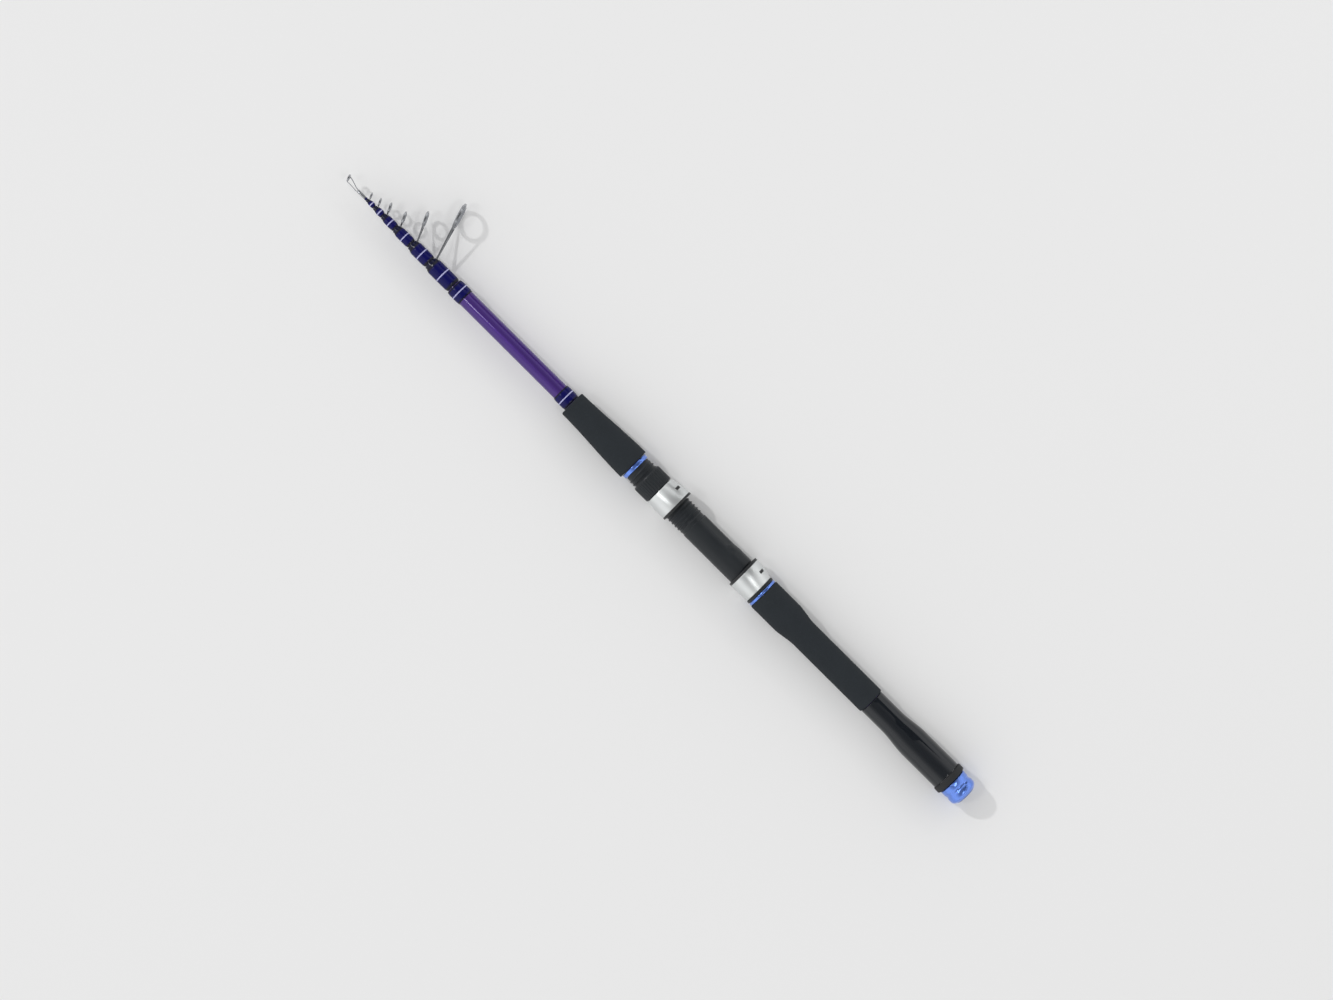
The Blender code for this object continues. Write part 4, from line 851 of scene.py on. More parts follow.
# The guides that stand on two legs, with the width of a leg. The others stand on a plate.
LEG_WIDTHS = {2: 1.5 * MM, 3: 1.2 * MM}
FOOT_THICKNESS = 0.4 * MM
FOOT_FACET = HALF_TURN / 16
LEG_SETBACK = 1.2 * MM
FOOT_REAR_GAP = 1.7 * MM
RING_GAP = 0.15 * MM
LEG_JOIN = math.radians(130.0)
LEG_TOUCH_MARGIN = math.radians(2.0)
LEG_FORK = 1.6
FORK_COLUMNS = 4
PLATE_COLUMNS = 8
FOOT_ROWS = 4
LEG_ROWS = 3
BEND_ROWS = 8
LOW_RIM_SIDES = 14
RIM_SIDES = 56
# The bend's radius as a share of half the sheet, and the edges' bevel as a share of the sheet.
BEND_SHARE = 1.25
SHEET_BEVEL = 0.045
SHEET_BEVEL_STEPS = 2
SMALL_GUIDES_FROM = 5
INSERT_ROUND = 0.48


class Sheet:
    """The middle surface of a stamped sheet, made solid in the end by its thickness."""

    def __init__(self):
        self.points = []
        self.normals = []
        self.halves = []
        self.faces = []

    def point(self, place, normal, half):
        self.points.append(place)
        self.normals.append(normal)
        self.halves.append(half)
        return len(self.points) - 1

    def strip(self, first, second):
        """Faces between two rows of points."""
        for i in range(len(first) - 1):
            self.faces.append((first[i], first[i + 1], second[i + 1], second[i]))

    def mesh(self, name, matrix):
        """Both sides of the sheet, and a wall on each edge that has no face beyond it."""
        count = len(self.points)
        front = [p + n * h for p, n, h in zip(self.points, self.normals, self.halves)]
        back = [p - n * h for p, n, h in zip(self.points, self.normals, self.halves)]
        faces = []
        edges = {}
        for face in self.faces:
            a, b, c, d = (self.points[i] for i in face)
            if (c - a).cross(d - b).dot(self.normals[face[0]]) < 0.0:
                face = face[::-1]
            faces += [face, tuple(i + count for i in reversed(face))]
            for i, start in enumerate(face):
                edges[start, face[(i + 1) % len(face)]] = True
        for start, end in edges:
            if (end, start) not in edges:
                faces.append((start, start + count, end + count, end))
        mesh = bpy.data.meshes.new(name)
        mesh.from_pydata([tuple(matrix @ p) for p in front + back], [], faces)
        return mesh


def guide_place(x):
    """Local axes of a guide: X along the rod, Y away from it, Z across."""
    return Matrix.Translation((x, 0.0, 0.0)) @ Matrix.Rotation(GUIDE_DIRECTION, 4, "X")


def guide_axes(lean):
    """The direction up a guide's leg, and the direction through its ring."""
    up = Vector((math.sin(lean), math.cos(lean), 0.0))
    through = Vector((math.cos(lean), -math.sin(lean), 0.0))
    return up, through


def guide_frame_mesh(k, guide):
    """A single-foot guide stamped from one sheet: foot, bend, legs or plate, and the ring's holder."""
    across = Vector((0.0, 0.0, 1.0))
    lean = math.radians(guide.lean)
    up, through = guide_axes(lean)
    under = guide.under * MM
    middle = under + FOOT_THICKNESS / 2
    foot_x = span(f"section_{k}")[1] - LEG_SETBACK
    before = span("butt_section" if k == 2 else f"section_{k - 1}")[1]
    rear = before + FOOT_REAR_GAP - foot_x
    foot_half = (under + FOOT_THICKNESS) * math.tan(FOOT_FACET) - RING_GAP / 2
    half = guide.sheet * MM / 2
    holder = guide.holder * MM
    seat = holder - guide.wall * MM
    base = Vector((0.0, middle, 0.0))
    rise = (guide.offset * MM - middle) / math.cos(lean)
    sheet = Sheet()
    columns = FORK_COLUMNS if k in LEG_WIDTHS else PLATE_COLUMNS
    shares = [2 * i / columns - 1 for i in range(columns + 1)]

    def row(place, normal, thickness_half):
        return [sheet.point(place + across * foot_half * s, normal, thickness_half) for s in shares]

    def on_leg(along, sideways):
        return sheet.point(base + up * along + across * sideways, -through, half)

    bend_radius = half * BEND_SHARE
    turn = math.pi / 2 - lean
    lead = bend_radius * math.tan(turn / 2)
    outward = Vector((0.0, 1.0, 0.0))
    rows = []
    for i in range(FOOT_ROWS + 1):
        x = rear + (-lead - rear) * i / FOOT_ROWS
        rows.append(row(Vector((x, middle, 0.0)), outward, FOOT_THICKNESS / 2))
    centre = Vector((-lead, middle + bend_radius, 0.0))
    for i in range(1, BEND_ROWS + 1):
        angle = turn * i / BEND_ROWS
        normal = Vector((-math.sin(angle), math.cos(angle), 0.0))
        swell = FOOT_THICKNESS / 2 + (half - FOOT_THICKNESS / 2) * i / BEND_ROWS
        rows.append(row(centre - normal * bend_radius, normal, swell))
    for first, second in zip(rows, rows[1:]):
        sheet.strip(first, second)
    neck = rows[-1]

    def rim_point(angle):
        return on_leg(rise + holder * math.cos(angle), holder * math.sin(angle))

    def between(near, far):
        """Rows of a leg from its near edge to its joint with the holder."""
        last = near
        starts = [sheet.points[i] for i in near]
        ends = [sheet.points[i] for i in far]
        for step in range(1, LEG_ROWS):
            share = step / LEG_ROWS
            new = [sheet.point(a.lerp(b, share), -through, half) for a, b in zip(starts, ends)]
            sheet.strip(last, new)
            last = new
        sheet.strip(last, far)

    if k in LEG_WIDTHS:
        step = LEG_WIDTHS[k] / 2 / holder
        low, high = LEG_JOIN + step, LEG_JOIN - step
        right = [rim_point(a) for a in (low, LEG_JOIN, high)]
        left = [rim_point(FULL_TURN - a) for a in (high, LEG_JOIN, low)]
        fork_at = LEG_WIDTHS[k] * LEG_FORK
        share = (fork_at - lead) / (rise + holder * math.cos(high) - lead)
        wide = foot_half + share * (holder * math.sin(high) - foot_half)
        fork = [on_leg(fork_at, wide * s) for s in shares]
        sheet.strip(neck, fork)
        between(fork[columns // 2:], right)
        between(fork[:columns // 2 + 1], left)
        sweep = FULL_TURN - 2 * low
        lows = [rim_point(low + sweep * i / LOW_RIM_SIDES) for i in range(1, LOW_RIM_SIDES)]
        highs = [rim_point(high - 2 * high * i / RIM_SIDES) for i in range(1, RIM_SIDES)]
        loop = right[::-1] + lows + left[::-1] + highs[::-1]
    else:
        height = rise - lead
        corner = math.hypot(height, foot_half)
        if corner > holder:
            touch = HALF_TURN - math.atan2(foot_half, height) - math.acos(holder / corner)
            join = touch + LEG_TOUCH_MARGIN
            sweep = 2 * (HALF_TURN - join)
            low_rim = [rim_point(FULL_TURN - join - sweep * i / columns) for i in range(columns + 1)]
            between(neck, low_rim)
            ends = 1
        else:
            # The bend ends inside the holder, so the plate has no rows of its own.
            join = math.acos(-height / holder)
            low_rim = neck
            ends = 0
        highs = [rim_point(join - 2 * join * i / RIM_SIDES) for i in range(ends, RIM_SIDES + 1 - ends)]
        loop = low_rim + highs
    inner = []
    ring_centre = base + up * rise
    for i in loop:
        out = (sheet.points[i] - ring_centre).normalized()
        inner.append(sheet.point(ring_centre + out * seat, -through, half))
    sheet.strip(loop + loop[:1], inner + inner[:1])
    return sheet.mesh(f"guide_frame_{k}_stamped", guide_place(foot_x))


def hoop_outline(outer, inner, depth, back):
    """A ring's outline with its corners rounded by a setback."""
    half = depth / 2
    return rounded([(-half, outer, back), (half, outer, back), (half, inner, back), (-half, inner, back)])


def guide_ring_mesh(k, guide):
    """The hard ring pressed into a guide's holder."""
    lean = math.radians(guide.lean)
    up, _ = guide_axes(lean)
    middle = guide.under * MM + FOOT_THICKNESS / 2
    foot_x = span(f"section_{k}")[1] - LEG_SETBACK
    rise = (guide.offset * MM - middle) / math.cos(lean)
    outer = (guide.holder - guide.wall) * MM - RING_GAP / 3
    wall = guide.insert * MM
    outline = hoop_outline(outer, outer - wall, guide.depth * MM, wall * INSERT_ROUND)
    sides = ROUND_SIDES if k < SMALL_GUIDES_FROM else SMALL_SIDES
    mesh = turned(f"guide_ring_{k}_polished", outline, sides=sides)
    tilt = Matrix.Translation(Vector((0.0, middle, 0.0)) + up * rise) @ Matrix.Rotation(-lean, 4, "Z")
    mesh.transform(guide_place(foot_x) @ tilt)
    return mesh


def make_guides(context):
    """The six stamped guides and their rings."""
    finishes = make_finishes(context.scene)
    for k, guide in GUIDES.items():
        body, node = f"section_{k}", f"guide_frame_{k}"
        mesh = guide_frame_mesh(k, guide)
        frame_piece = dressed(f"{node}_stamped", mesh, finishes, "polished_steel", body, node)
        softened(frame_piece, guide.sheet * SHEET_BEVEL * MM, SHEET_BEVEL_STEPS)
        node = f"guide_ring_{k}"
        dressed(f"{node}_polished", guide_ring_mesh(k, guide), finishes, "guide_ring", body, node)


TIP_SOCKET_LENGTH = 6.5 * MM
TIP_SOCKET_WALL = 0.45 * MM
TIP_SOCKET_GAP = 0.2 * MM
TIP_REAR_EDGE = 0.12 * MM
TIP_BORE_EDGE = 0.1 * MM
TIP_NOSE_ROUND = 0.5 * MM
TIP_HOLDER_EDGE = 0.2 * MM
TIP_REACH = 11.9 * MM
TIP_OFFSET = 1.9 * MM
TIP_HOLDER = 2.8 * MM
TIP_HOLDER_WALL = 0.45 * MM
TIP_HOLDER_DEPTH = 1.1 * MM
TIP_INSERT_WALL = 0.65 * MM
TIP_INSERT_DEPTH = 1.4 * MM
TIP_WIRE = 0.6 * MM
TIP_LEAN = math.radians(20.0)
TIP_WIRE_ANGLES = (HALF_TURN, math.radians(60.0), math.radians(-60.0))
WIRE_STEPS = 16
WIRE_SIDES = 14
# A wire starts behind the socket's front by this many of the socket's walls. Its ends sink into the
# socket and the holder by shares of its thickness. Its pull is how far its curve's handles reach
# along the rod, as a share of its length there.
WIRE_BACK = 2.2
WIRE_IN_SOCKET = 0.45
WIRE_IN_HOLDER = 0.6
WIRE_PULL = 0.4


def make_tip_guide(context):
    """The tip guide: a socket over the last tube, three bent wires, a rolled holder and its ring."""
    finishes = make_finishes(context.scene)
    end = span("section_8")[1]
    rear = end - TIP_SOCKET_LENGTH
    front = end + 2 * TIP_SOCKET_WALL
    near_rear = [row for row in stations("tip_guide_frame") if row[0] < end]
    bore = min(least for _, least, _ in near_rear)
    outer = bore + TIP_SOCKET_WALL
    corners = [
        (rear, outer, TIP_REAR_EDGE),
        (front, outer, TIP_NOSE_ROUND),
        (front, 0.0),
        (end + TIP_SOCKET_GAP, 0.0),
        (end + TIP_SOCKET_GAP, bore),
        (rear, bore, TIP_BORE_EDGE),
    ]
    meshes = [turned("tip_socket", rounded(corners), sides=SMALL_SIDES)]
    up, _ = guide_axes(TIP_LEAN)
    across = Vector((0.0, 0.0, 1.0))
    centre = Vector((end + TIP_REACH, TIP_OFFSET, 0.0))
    place = guide_place(0.0)
    tilt = place @ Matrix.Translation(centre) @ Matrix.Rotation(-TIP_LEAN, 4, "Z")
    seat = TIP_HOLDER - TIP_HOLDER_WALL
    outline = hoop_outline(TIP_HOLDER, seat, TIP_HOLDER_DEPTH, TIP_HOLDER_EDGE)
    holder = turned("tip_holder", outline, sides=SMALL_SIDES)
    holder.transform(tilt)
    meshes.append(holder)
    tree = wire_tree()
    rim = seat + WIRE_IN_HOLDER * TIP_WIRE
    leave = Vector((front - TIP_SOCKET_WALL * WIRE_BACK, 0.0, 0.0))
    for angle in TIP_WIRE_ANGLES:
        out = Vector((0.0, math.cos(angle), math.sin(angle)))
        start = leave + out * (outer - TIP_WIRE * WIRE_IN_SOCKET)
        stop = centre + up * rim * math.cos(angle) + across * rim * math.sin(angle)
        pull = Vector(((stop.x - start.x) * WIRE_PULL, 0.0, 0.0))
        knots = (start, start + pull, stop - pull, stop)
        points = []
        for step in range(WIRE_STEPS + 1):
            s = step / WIRE_STEPS
            weights = ((1 - s) ** 3, 3 * s * (1 - s) ** 2, 3 * s * s * (1 - s), s**3)
            points.append(place @ sum((knot * w for knot, w in zip(knots, weights)), Vector()))
        values = {"Radius": TIP_WIRE / 2, "Sides": WIRE_SIDES, "Finish": finishes["polished_steel"]}
        meshes.append(grown("tip_wire", tree, drawing("tip_wire_path", points, False), values))
    mesh = one_mesh("tip_guide_frame_bent", meshes)
    dressed("tip_guide_frame_bent", mesh, finishes, "polished_steel", "section_8", "tip_guide_frame")
    outer = seat - RING_GAP / 3
    insert_round = TIP_INSERT_WALL * INSERT_ROUND
    outline = hoop_outline(outer, outer - TIP_INSERT_WALL, TIP_INSERT_DEPTH, insert_round)
    mesh = turned("tip_guide_ring_polished", outline, sides=SMALL_SIDES)
    mesh.transform(tilt)
    dressed("tip_guide_ring_polished", mesh, finishes, "guide_ring", "section_8", "tip_guide_ring")


# Handle


FLOOR_LEVEL = CAD_BOX[0].z
GRIP_EDGE = 1.3 * MM
TIGHT_GRIP_EDGE = 0.4 * GRIP_EDGE
GRIP_STEP = 1.5 * MM
REAR_GRIP_CONE = (167.0 * MM, 180.0 * MM)
# How far the CAD's fore grip is drawn in at its front edge, which is rounded here instead.
FORE_GRIP_ROLL = 1.2 * MM
FORE_GRIP_STEPS = 28
SINK = 0.1 * MM


def bored(node):
    """Radii of a glued piece's bore at its rear and its front, a hair under the CAD's."""
    places = stations(node)
    return places[0][1] - SINK, places[-1][1] - SINK


def make_grips(context):
    """The two foam grips: the rear one with its cone, the fore one drawn in towards the tip."""
    finishes = make_finishes(context.scene)
    wide = -FLOOR_LEVEL
    start, end = span("rear_grip")
    narrow = min(largest for _, _, largest in stations("rear_grip")[1:-1])
    rear_bore, front_bore = bored("rear_grip")
    corners = [
        (start, narrow, GRIP_EDGE),
        (REAR_GRIP_CONE[0], narrow, 2 * GRIP_EDGE),
        (REAR_GRIP_CONE[1], wide, 2 * GRIP_EDGE),
        (end, wide, TIGHT_GRIP_EDGE),
        (end, front_bore),
        (start, rear_bore),
    ]
    mesh = turned("rear_grip_foam", refined(rounded(corners), GRIP_STEP))
    rear = dressed("rear_grip_foam", mesh, finishes, "grip_foam", "butt", "rear_grip")

    start, end = span("fore_grip")
    thin = stations("fore_grip")[-1][2] + FORE_GRIP_ROLL
    rear_bore, front_bore = bored("fore_grip")
    shares = [i / FORE_GRIP_STEPS for i in range(FORE_GRIP_STEPS + 1)]
    curve = [(start + s * (end - start), wide + eased(s) * (thin - wide)) for s in shares]
    corners = [(*curve[0], TIGHT_GRIP_EDGE), *curve[1:-1], (*curve[-1], GRIP_EDGE)]
    corners += [(end, front_bore), (start, rear_bore)]
    mesh = turned("fore_grip_foam", refined(rounded(corners), GRIP_STEP))
    fore = dressed("fore_grip_foam", mesh, finishes, "grip_foam", "butt", "fore_grip")


BARREL_RADIUS = 10.6 * MM
BARREL_BORE = 8.6 * MM
THREAD_ROOT = 10.1 * MM
THREAD_CREST = 10.8 * MM
THREAD_FROM = 276.6 * MM
BARREL_FRONT = 334.0 * MM
SPIGOT_RADIUS = 9.5 * MM
RAMP = (229.0 * MM, 247.0 * MM)
RAMP_HEIGHT = 0.8 * MM
RAMP_HALF_ANGLE = math.radians(60.0)
BED = (248.0 * MM, 275.0 * MM)
BED_HALF_ANGLE = math.radians(18.0)
BED_LEVEL = BARREL_RADIUS * math.cos(BED_HALF_ANGLE)
BED_REACH = 1.5 * BED_HALF_ANGLE
STEP_LENGTH = 0.45 * MM
THREAD_STEP = 0.17 * MM


def seat_shape(x, angle, radius):
    """The barrel's outside: a ramp into the fixed hood and a flat for the reel's foot."""
    away = away_from(REEL_DIRECTION, angle)
    outside = radius > BARREL_BORE + STEP_LENGTH
    over = np.cos(np.clip(away / RAMP_HALF_ANGLE, 0.0, 1.0) * math.pi / 2)
    fall = (RAMP[1] - RAMP[0]) / 3
    rise = eased((x - RAMP[0]) / STEP_LENGTH) * eased((RAMP[1] - x) / fall)
    raised = radius + RAMP_HEIGHT * over * rise
    flat = BED_LEVEL / np.cos(np.minimum(away, BED_REACH))
    depth = eased((x - BED[0]) / STEP_LENGTH) * eased((BED[1] - x) / STEP_LENGTH)
    bedded = np.where(away < BED_HALF_ANGLE, radius + (np.minimum(flat, radius) - radius) * depth, radius)
    shaped = np.where(x < (RAMP[1] + BED[0]) / 2, raised, bedded)
    return np.where(outside, shaped, radius)


def ring_piece(node, body, slot, finishes, back):
    """A plain ring in place of a CAD node, its edges rounded by a setback."""
    start, end = span(node)
    places = stations(node)
    outer = min(-FLOOR_LEVEL, max(largest for _, _, largest in places))
    inner = min(least for _, least, _ in places) - SINK
    corners = [(start, outer, back), (end, outer, back), (end, inner), (start, inner)]
    mesh = turned(f"{node}_ring", rounded(corners))
    dressed(f"{node}_ring", mesh, finishes, slot, body, node)


HOOD_LENGTH = 15.8 * MM
HOOD_LIP = 1.8 * MM
HOOD_NECK = 11.9 * MM
HOOD_FLARE = 1.5 * MM
HOOD_OFFSET = 1.3 * MM
HOOD_WALL = 0.45 * MM
LINER_GAP = 0.05 * MM
LINER_WALL = 0.4 * MM
LINER_PLAY = 0.15 * MM
LINER_SOFT = 0.35 * MM
# Shares of the lip's rounding: how far its middle lies in from the corner, and how far the bore
# stands clear at the corner and at its middle.
LIP_MIDDLE = 0.3
LIP_CORNER_CLEAR = 0.6
LIP_MIDDLE_CLEAR = 0.2
LINER_ROWS = 12
SLOT_LENGTH = 2.2 * MM
SLOT_WIDTH = 5.4 * MM
SLOT_SIDES = 8
HOOD_ROWS = 18
HOOD_BEVEL = 0.14 * MM
HOOD_BEVEL_STEPS = 3
# Where the pocket for the reel's foot narrows and where it ends, as shares of the hood's length.
POCKET_STEP = 0.6
POCKET_FLOOR = 0.25
POCKET_ROWS = 5
POCKET_FLOOR_ROWS = 6


def hood_row(neck, way, share, inset):
    """One circle of a hood, set in from its outside, at a share of the way to its mouth."""
    flare = math.sin(share * math.pi / 2)
    x = neck + way * share * HOOD_LENGTH
    return x, HOOD_NECK + flare * HOOD_FLARE - inset, flare * HOOD_OFFSET, 0.0


def slot_angles(half_slot):
    """Angles round a hood, those across its slot first."""
    inside = np.linspace(-half_slot, half_slot, SLOT_SIDES + 1)
    outside = np.linspace(half_slot, FULL_TURN - half_slot, ROUND_SIDES)[1:-1]
    return REEL_DIRECTION + np.concatenate([inside, outside])


def make_hood(prefix, body, neck, way, finishes):
    """A plated metal hood with its slot, over a black liner with a pocket for the reel's foot."""
    half_length = SLOT_LENGTH / 2 / HOOD_LENGTH
    inner_reach = HOOD_NECK + math.sin(math.pi / 4) * (HOOD_FLARE + HOOD_OFFSET)
    angles = slot_angles(math.asin(SLOT_WIDTH / 2 / inner_reach))
    low, high = 0.5 - half_length, 0.5 + half_length
    shares = [low * i / HOOD_ROWS for i in range(HOOD_ROWS)] + [low, 0.5]
    shares += [high + (1 - high) * i / HOOD_ROWS for i in range(HOOD_ROWS + 1)]
    cut = (HOOD_ROWS, HOOD_ROWS + 1)
    rows = [hood_row(neck, way, share, 0.0) for share in shares]
    if way < 0:
        rows.reverse()
        cut = (len(shares) - 2 - cut[1], len(shares) - 2 - cut[0])

    def in_slot(row, side):
        return cut[0] <= row <= cut[1] and side < SLOT_SIDES

    node = f"{prefix}_shell"
    mesh = lofted(f"{node}_plated", rows, angles, False, in_slot)
    shell = dressed(f"{node}_plated", mesh, finishes, "silver_hood", body, node)
    wall = shell.modifiers.new("wall", "SOLIDIFY")
    wall.thickness = HOOD_WALL
    wall.offset = -1.0
    softened(shell, HOOD_BEVEL, HOOD_BEVEL_STEPS)

    inset = HOOD_WALL + LINER_GAP
    bore = THREAD_CREST + LINER_PLAY
    pocket = HOOD_NECK + HOOD_FLARE - inset - LINER_WALL
    lip = neck + way * (HOOD_LENGTH + LINER_GAP)
    mouth = neck + way * (HOOD_LENGTH + HOOD_LIP)
    full = HOOD_NECK + HOOD_FLARE
    soft = LINER_SOFT
    dip = soft * LIP_MIDDLE
    start = neck + way * POCKET_STEP * HOOD_LENGTH
    floor = neck + way * POCKET_FLOOR * HOOD_LENGTH
    rows = [hood_row(neck, way, share, inset) for share in np.linspace(0.0, 1.0, LINER_ROWS)]
    rows += [
        (lip, full - inset, HOOD_OFFSET, 0.0),
        (lip, full - soft / 2, HOOD_OFFSET, 0.0),
        (lip + way * soft / 2, full, HOOD_OFFSET, 0.0),
        (mouth - way * soft, full, HOOD_OFFSET, 0.0),
        (mouth - way * dip, full - dip, HOOD_OFFSET, 0.0),
        (mouth, full - soft, HOOD_OFFSET, 0.0),
        (mouth, pocket + soft, HOOD_OFFSET, bore + soft * LIP_CORNER_CLEAR),
        (mouth - way * dip, pocket + dip, HOOD_OFFSET, bore + soft * LIP_MIDDLE_CLEAR),
        (mouth - way * soft, pocket, HOOD_OFFSET, bore),
    ]
    inner_lip = mouth - way * soft
    for i in range(1, POCKET_ROWS + 1):
        share = i / POCKET_ROWS
        x = inner_lip + (start - inner_lip) * share
        rows.append((x, pocket - LINER_WALL * share, HOOD_OFFSET, bore))
    for i in range(1, POCKET_FLOOR_ROWS + 1):
        share = i / POCKET_FLOOR_ROWS
        narrowed = (pocket - LINER_WALL) * (1 - share) + bore * share
        rows.append((start + (floor - start) * share, narrowed, HOOD_OFFSET * (1 - share), bore))
    rows.append((neck, bore, 0.0, bore))
    if way < 0:
        rows.reverse()
    liner_angles = np.arange(ROUND_SIDES) * FULL_TURN / ROUND_SIDES + REEL_DIRECTION
    node = f"{prefix}_liner"
    mesh = lofted(f"{node}_moulded", rows, liner_angles)
    dressed(f"{node}_moulded", mesh, finishes, "liner_plastic", body, node)


SEAT_EDGE = 0.15 * MM
BARREL_FRONT_EDGE = 0.2 * MM
NUT_CHAMFER = 1.2 * MM
NUT_SIDES = 288
NUT_STEP = 0.8 * MM
NUT_PLAY = 0.12 * MM
NUT_EDGE = 0.2 * MM
NUT_CHAMFER_EDGE = 0.3 * MM
NUT_FRONT_EDGE = 0.5 * MM
RIB_START = 0.5 * MM
RIB_FADE = 0.6 * MM
REAR_CHECK_EDGE = 0.55 * MM
FRONT_CHECK_EDGE = 0.8 * MM
COLLAR_EDGE = 0.4 * MM


def make_seat(context):
    """The reel seat: threaded barrel, two hoods, ribbed nut, checks and collar."""
    finishes = make_finishes(context.scene)
    sizes = context.scene.rod_sizes
    rear, front = span("reel_seat_barrel")
    corners = [
        (rear, BARREL_RADIUS),
        (THREAD_FROM - STEP_LENGTH, BARREL_RADIUS, SEAT_EDGE),
        (THREAD_FROM, THREAD_ROOT, SEAT_EDGE),
        (BARREL_FRONT, THREAD_ROOT, BARREL_FRONT_EDGE),
        (BARREL_FRONT, SPIGOT_RADIUS),
        (front, SPIGOT_RADIUS),
        (front, BARREL_BORE),
        (rear, BARREL_BORE),
    ]
    outline = rounded(corners)
    # The thread is raised on finer rows than the rest of the barrel has.
    fine = [(x, radius) for x, radius in outline if x >= THREAD_FROM - MM and radius > SPIGOT_RADIUS + SINK]
    split = outline.index(fine[0])
    body = refined(outline[:split] + [fine[0]], STEP_LENGTH, False)[:-1]
    body += refined(fine, THREAD_STEP, False) + outline[split + len(fine):]
    mesh = turned("reel_seat_barrel_threaded", body, shape=seat_shape, turn=REEL_DIRECTION)
    values = {"Pitch": sizes.seat_pitch, "Depth": THREAD_CREST - THREAD_ROOT, "From": THREAD_FROM + MM}
    values.update({"To": BARREL_FRONT - MM, "Least": THREAD_ROOT - SINK, "Finish": finishes["seat_plastic"]})
    mesh = grown("reel_seat_barrel_threaded", screw_tree(), mesh, values)
    dressed("reel_seat_barrel_threaded", mesh, finishes, "seat_plastic", "butt", "reel_seat_barrel")

    make_hood("fixed_hood", "butt", span("fixed_hood_shell")[0], 1, finishes)
    make_hood("sliding_hood", "sliding_hood", span("sliding_hood_shell")[1], -1, finishes)

    start, end = span("locking_nut")
    outer = reach("locking_nut")
    inner = THREAD_CREST + NUT_PLAY
    corners = [
        (start, outer - NUT_CHAMFER / 2, NUT_EDGE),
        (start + NUT_CHAMFER / 2, outer, NUT_CHAMFER_EDGE),
        (end - NUT_CHAMFER, outer, NUT_FRONT_EDGE),
        (end, outer - NUT_CHAMFER / 2, NUT_CHAMFER_EDGE),
        (end, inner, NUT_EDGE),
        (start, inner, NUT_EDGE),
    ]
    mesh = turned("locking_nut_ribbed", refined(rounded(corners), NUT_STEP), sides=NUT_SIDES)
    values = {"Ribs": sizes.nut_ribs, "Depth": sizes.nut_rib_depth, "From": start + RIB_START, "To": end - MM}
    values.update({"Fade": RIB_FADE, "Least": (outer + inner) / 2, "Finish": finishes["seat_plastic"]})
    mesh = grown("locking_nut_ribbed", rib_tree(), mesh, values)
    dressed("locking_nut_ribbed", mesh, finishes, "seat_plastic", "locking_nut", "locking_nut")

    ring_piece("rear_check", "butt", "blue_anodised", finishes, REAR_CHECK_EDGE)
    ring_piece("hood_collar", "butt", "seat_plastic", finishes, COLLAR_EDGE)
    ring_piece("front_check", "butt", "blue_anodised", finishes, FRONT_CHECK_EDGE)
    for node in ("rear_arbor", "front_arbor"):
        dress_node(node, finishes["liner_plastic"])


def dress_node(node, material):
    """Gives a CAD node that stays a finished material."""
    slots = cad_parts[node].data.materials
    for i in range(len(slots)):
        slots[i] = material
    if not slots:
        slots.append(material)


# Butt end


CAP_CHAMFER = 2.4 * MM
CAP_COVE_X = 8.6 * MM
CAP_COVE_WIDTH = 3.6 * MM
CAP_COVE_DEPTH = 0.6 * MM
CAP_COVE_STEPS = 10
CAP_FACE_X = 0.4 * MM
CAP_FACE_RADIUS = 8.3 * MM
CAP_RADIUS = 11.25 * MM
CAP_FLANGE_X = 14.6 * MM
CAP_ROOT = 8.3 * MM
CAP_CREST = 8.8 * MM
CAP_BORE = 6.5 * MM
CAP_BORE_FLOOR = 6.0 * MM
CAP_THREAD_SETBACK = 3.0 * MM
CAP_RIM_EDGE = 0.15 * MM
CAP_FACE_EDGE = 0.4 * MM
CAP_SHOULDER_ROUND = 1.4 * MM
CAP_FLANGE_EDGE = 0.35 * MM
CAP_FLANGE_BEVEL = (0.4 * MM, 0.5 * MM)
CAP_UNDERCUT_EDGE = 0.2 * MM
CAP_STEM_EDGE = 0.4 * MM
CAP_BORE_EDGE = 0.3 * MM
DISC_RECESS = 1.65 * MM
DISC_PLAY = 0.1 * MM
DISC_EDGE = 0.5 * MM
PAD_PLUG_EDGE = 0.8 * MM
PAD_REAR_EDGE = 0.5 * MM
PAD_FRONT_EDGE = 0.7 * MM
PAD_STEP = 0.8 * MM
SEAL_SIDES = 16
BUTT_RING_EDGE = 1.1 * MM
SLEEVE_FLARE_X = 53.0 * MM
SLEEVE_NECK_X = 76.0 * MM
SLEEVE_FLARE_STEPS = 20
SLEEVE_REAR_EDGE = 0.4 * MM
SLEEVE_FRONT_EDGE = 0.5 * MM
SLEEVE_STEP = 3.0 * MM
# The sleeve's bore steps in where its least radius is this far under its outside at the rear.
SLEEVE_STEP_DEPTH = 2.0 * MM


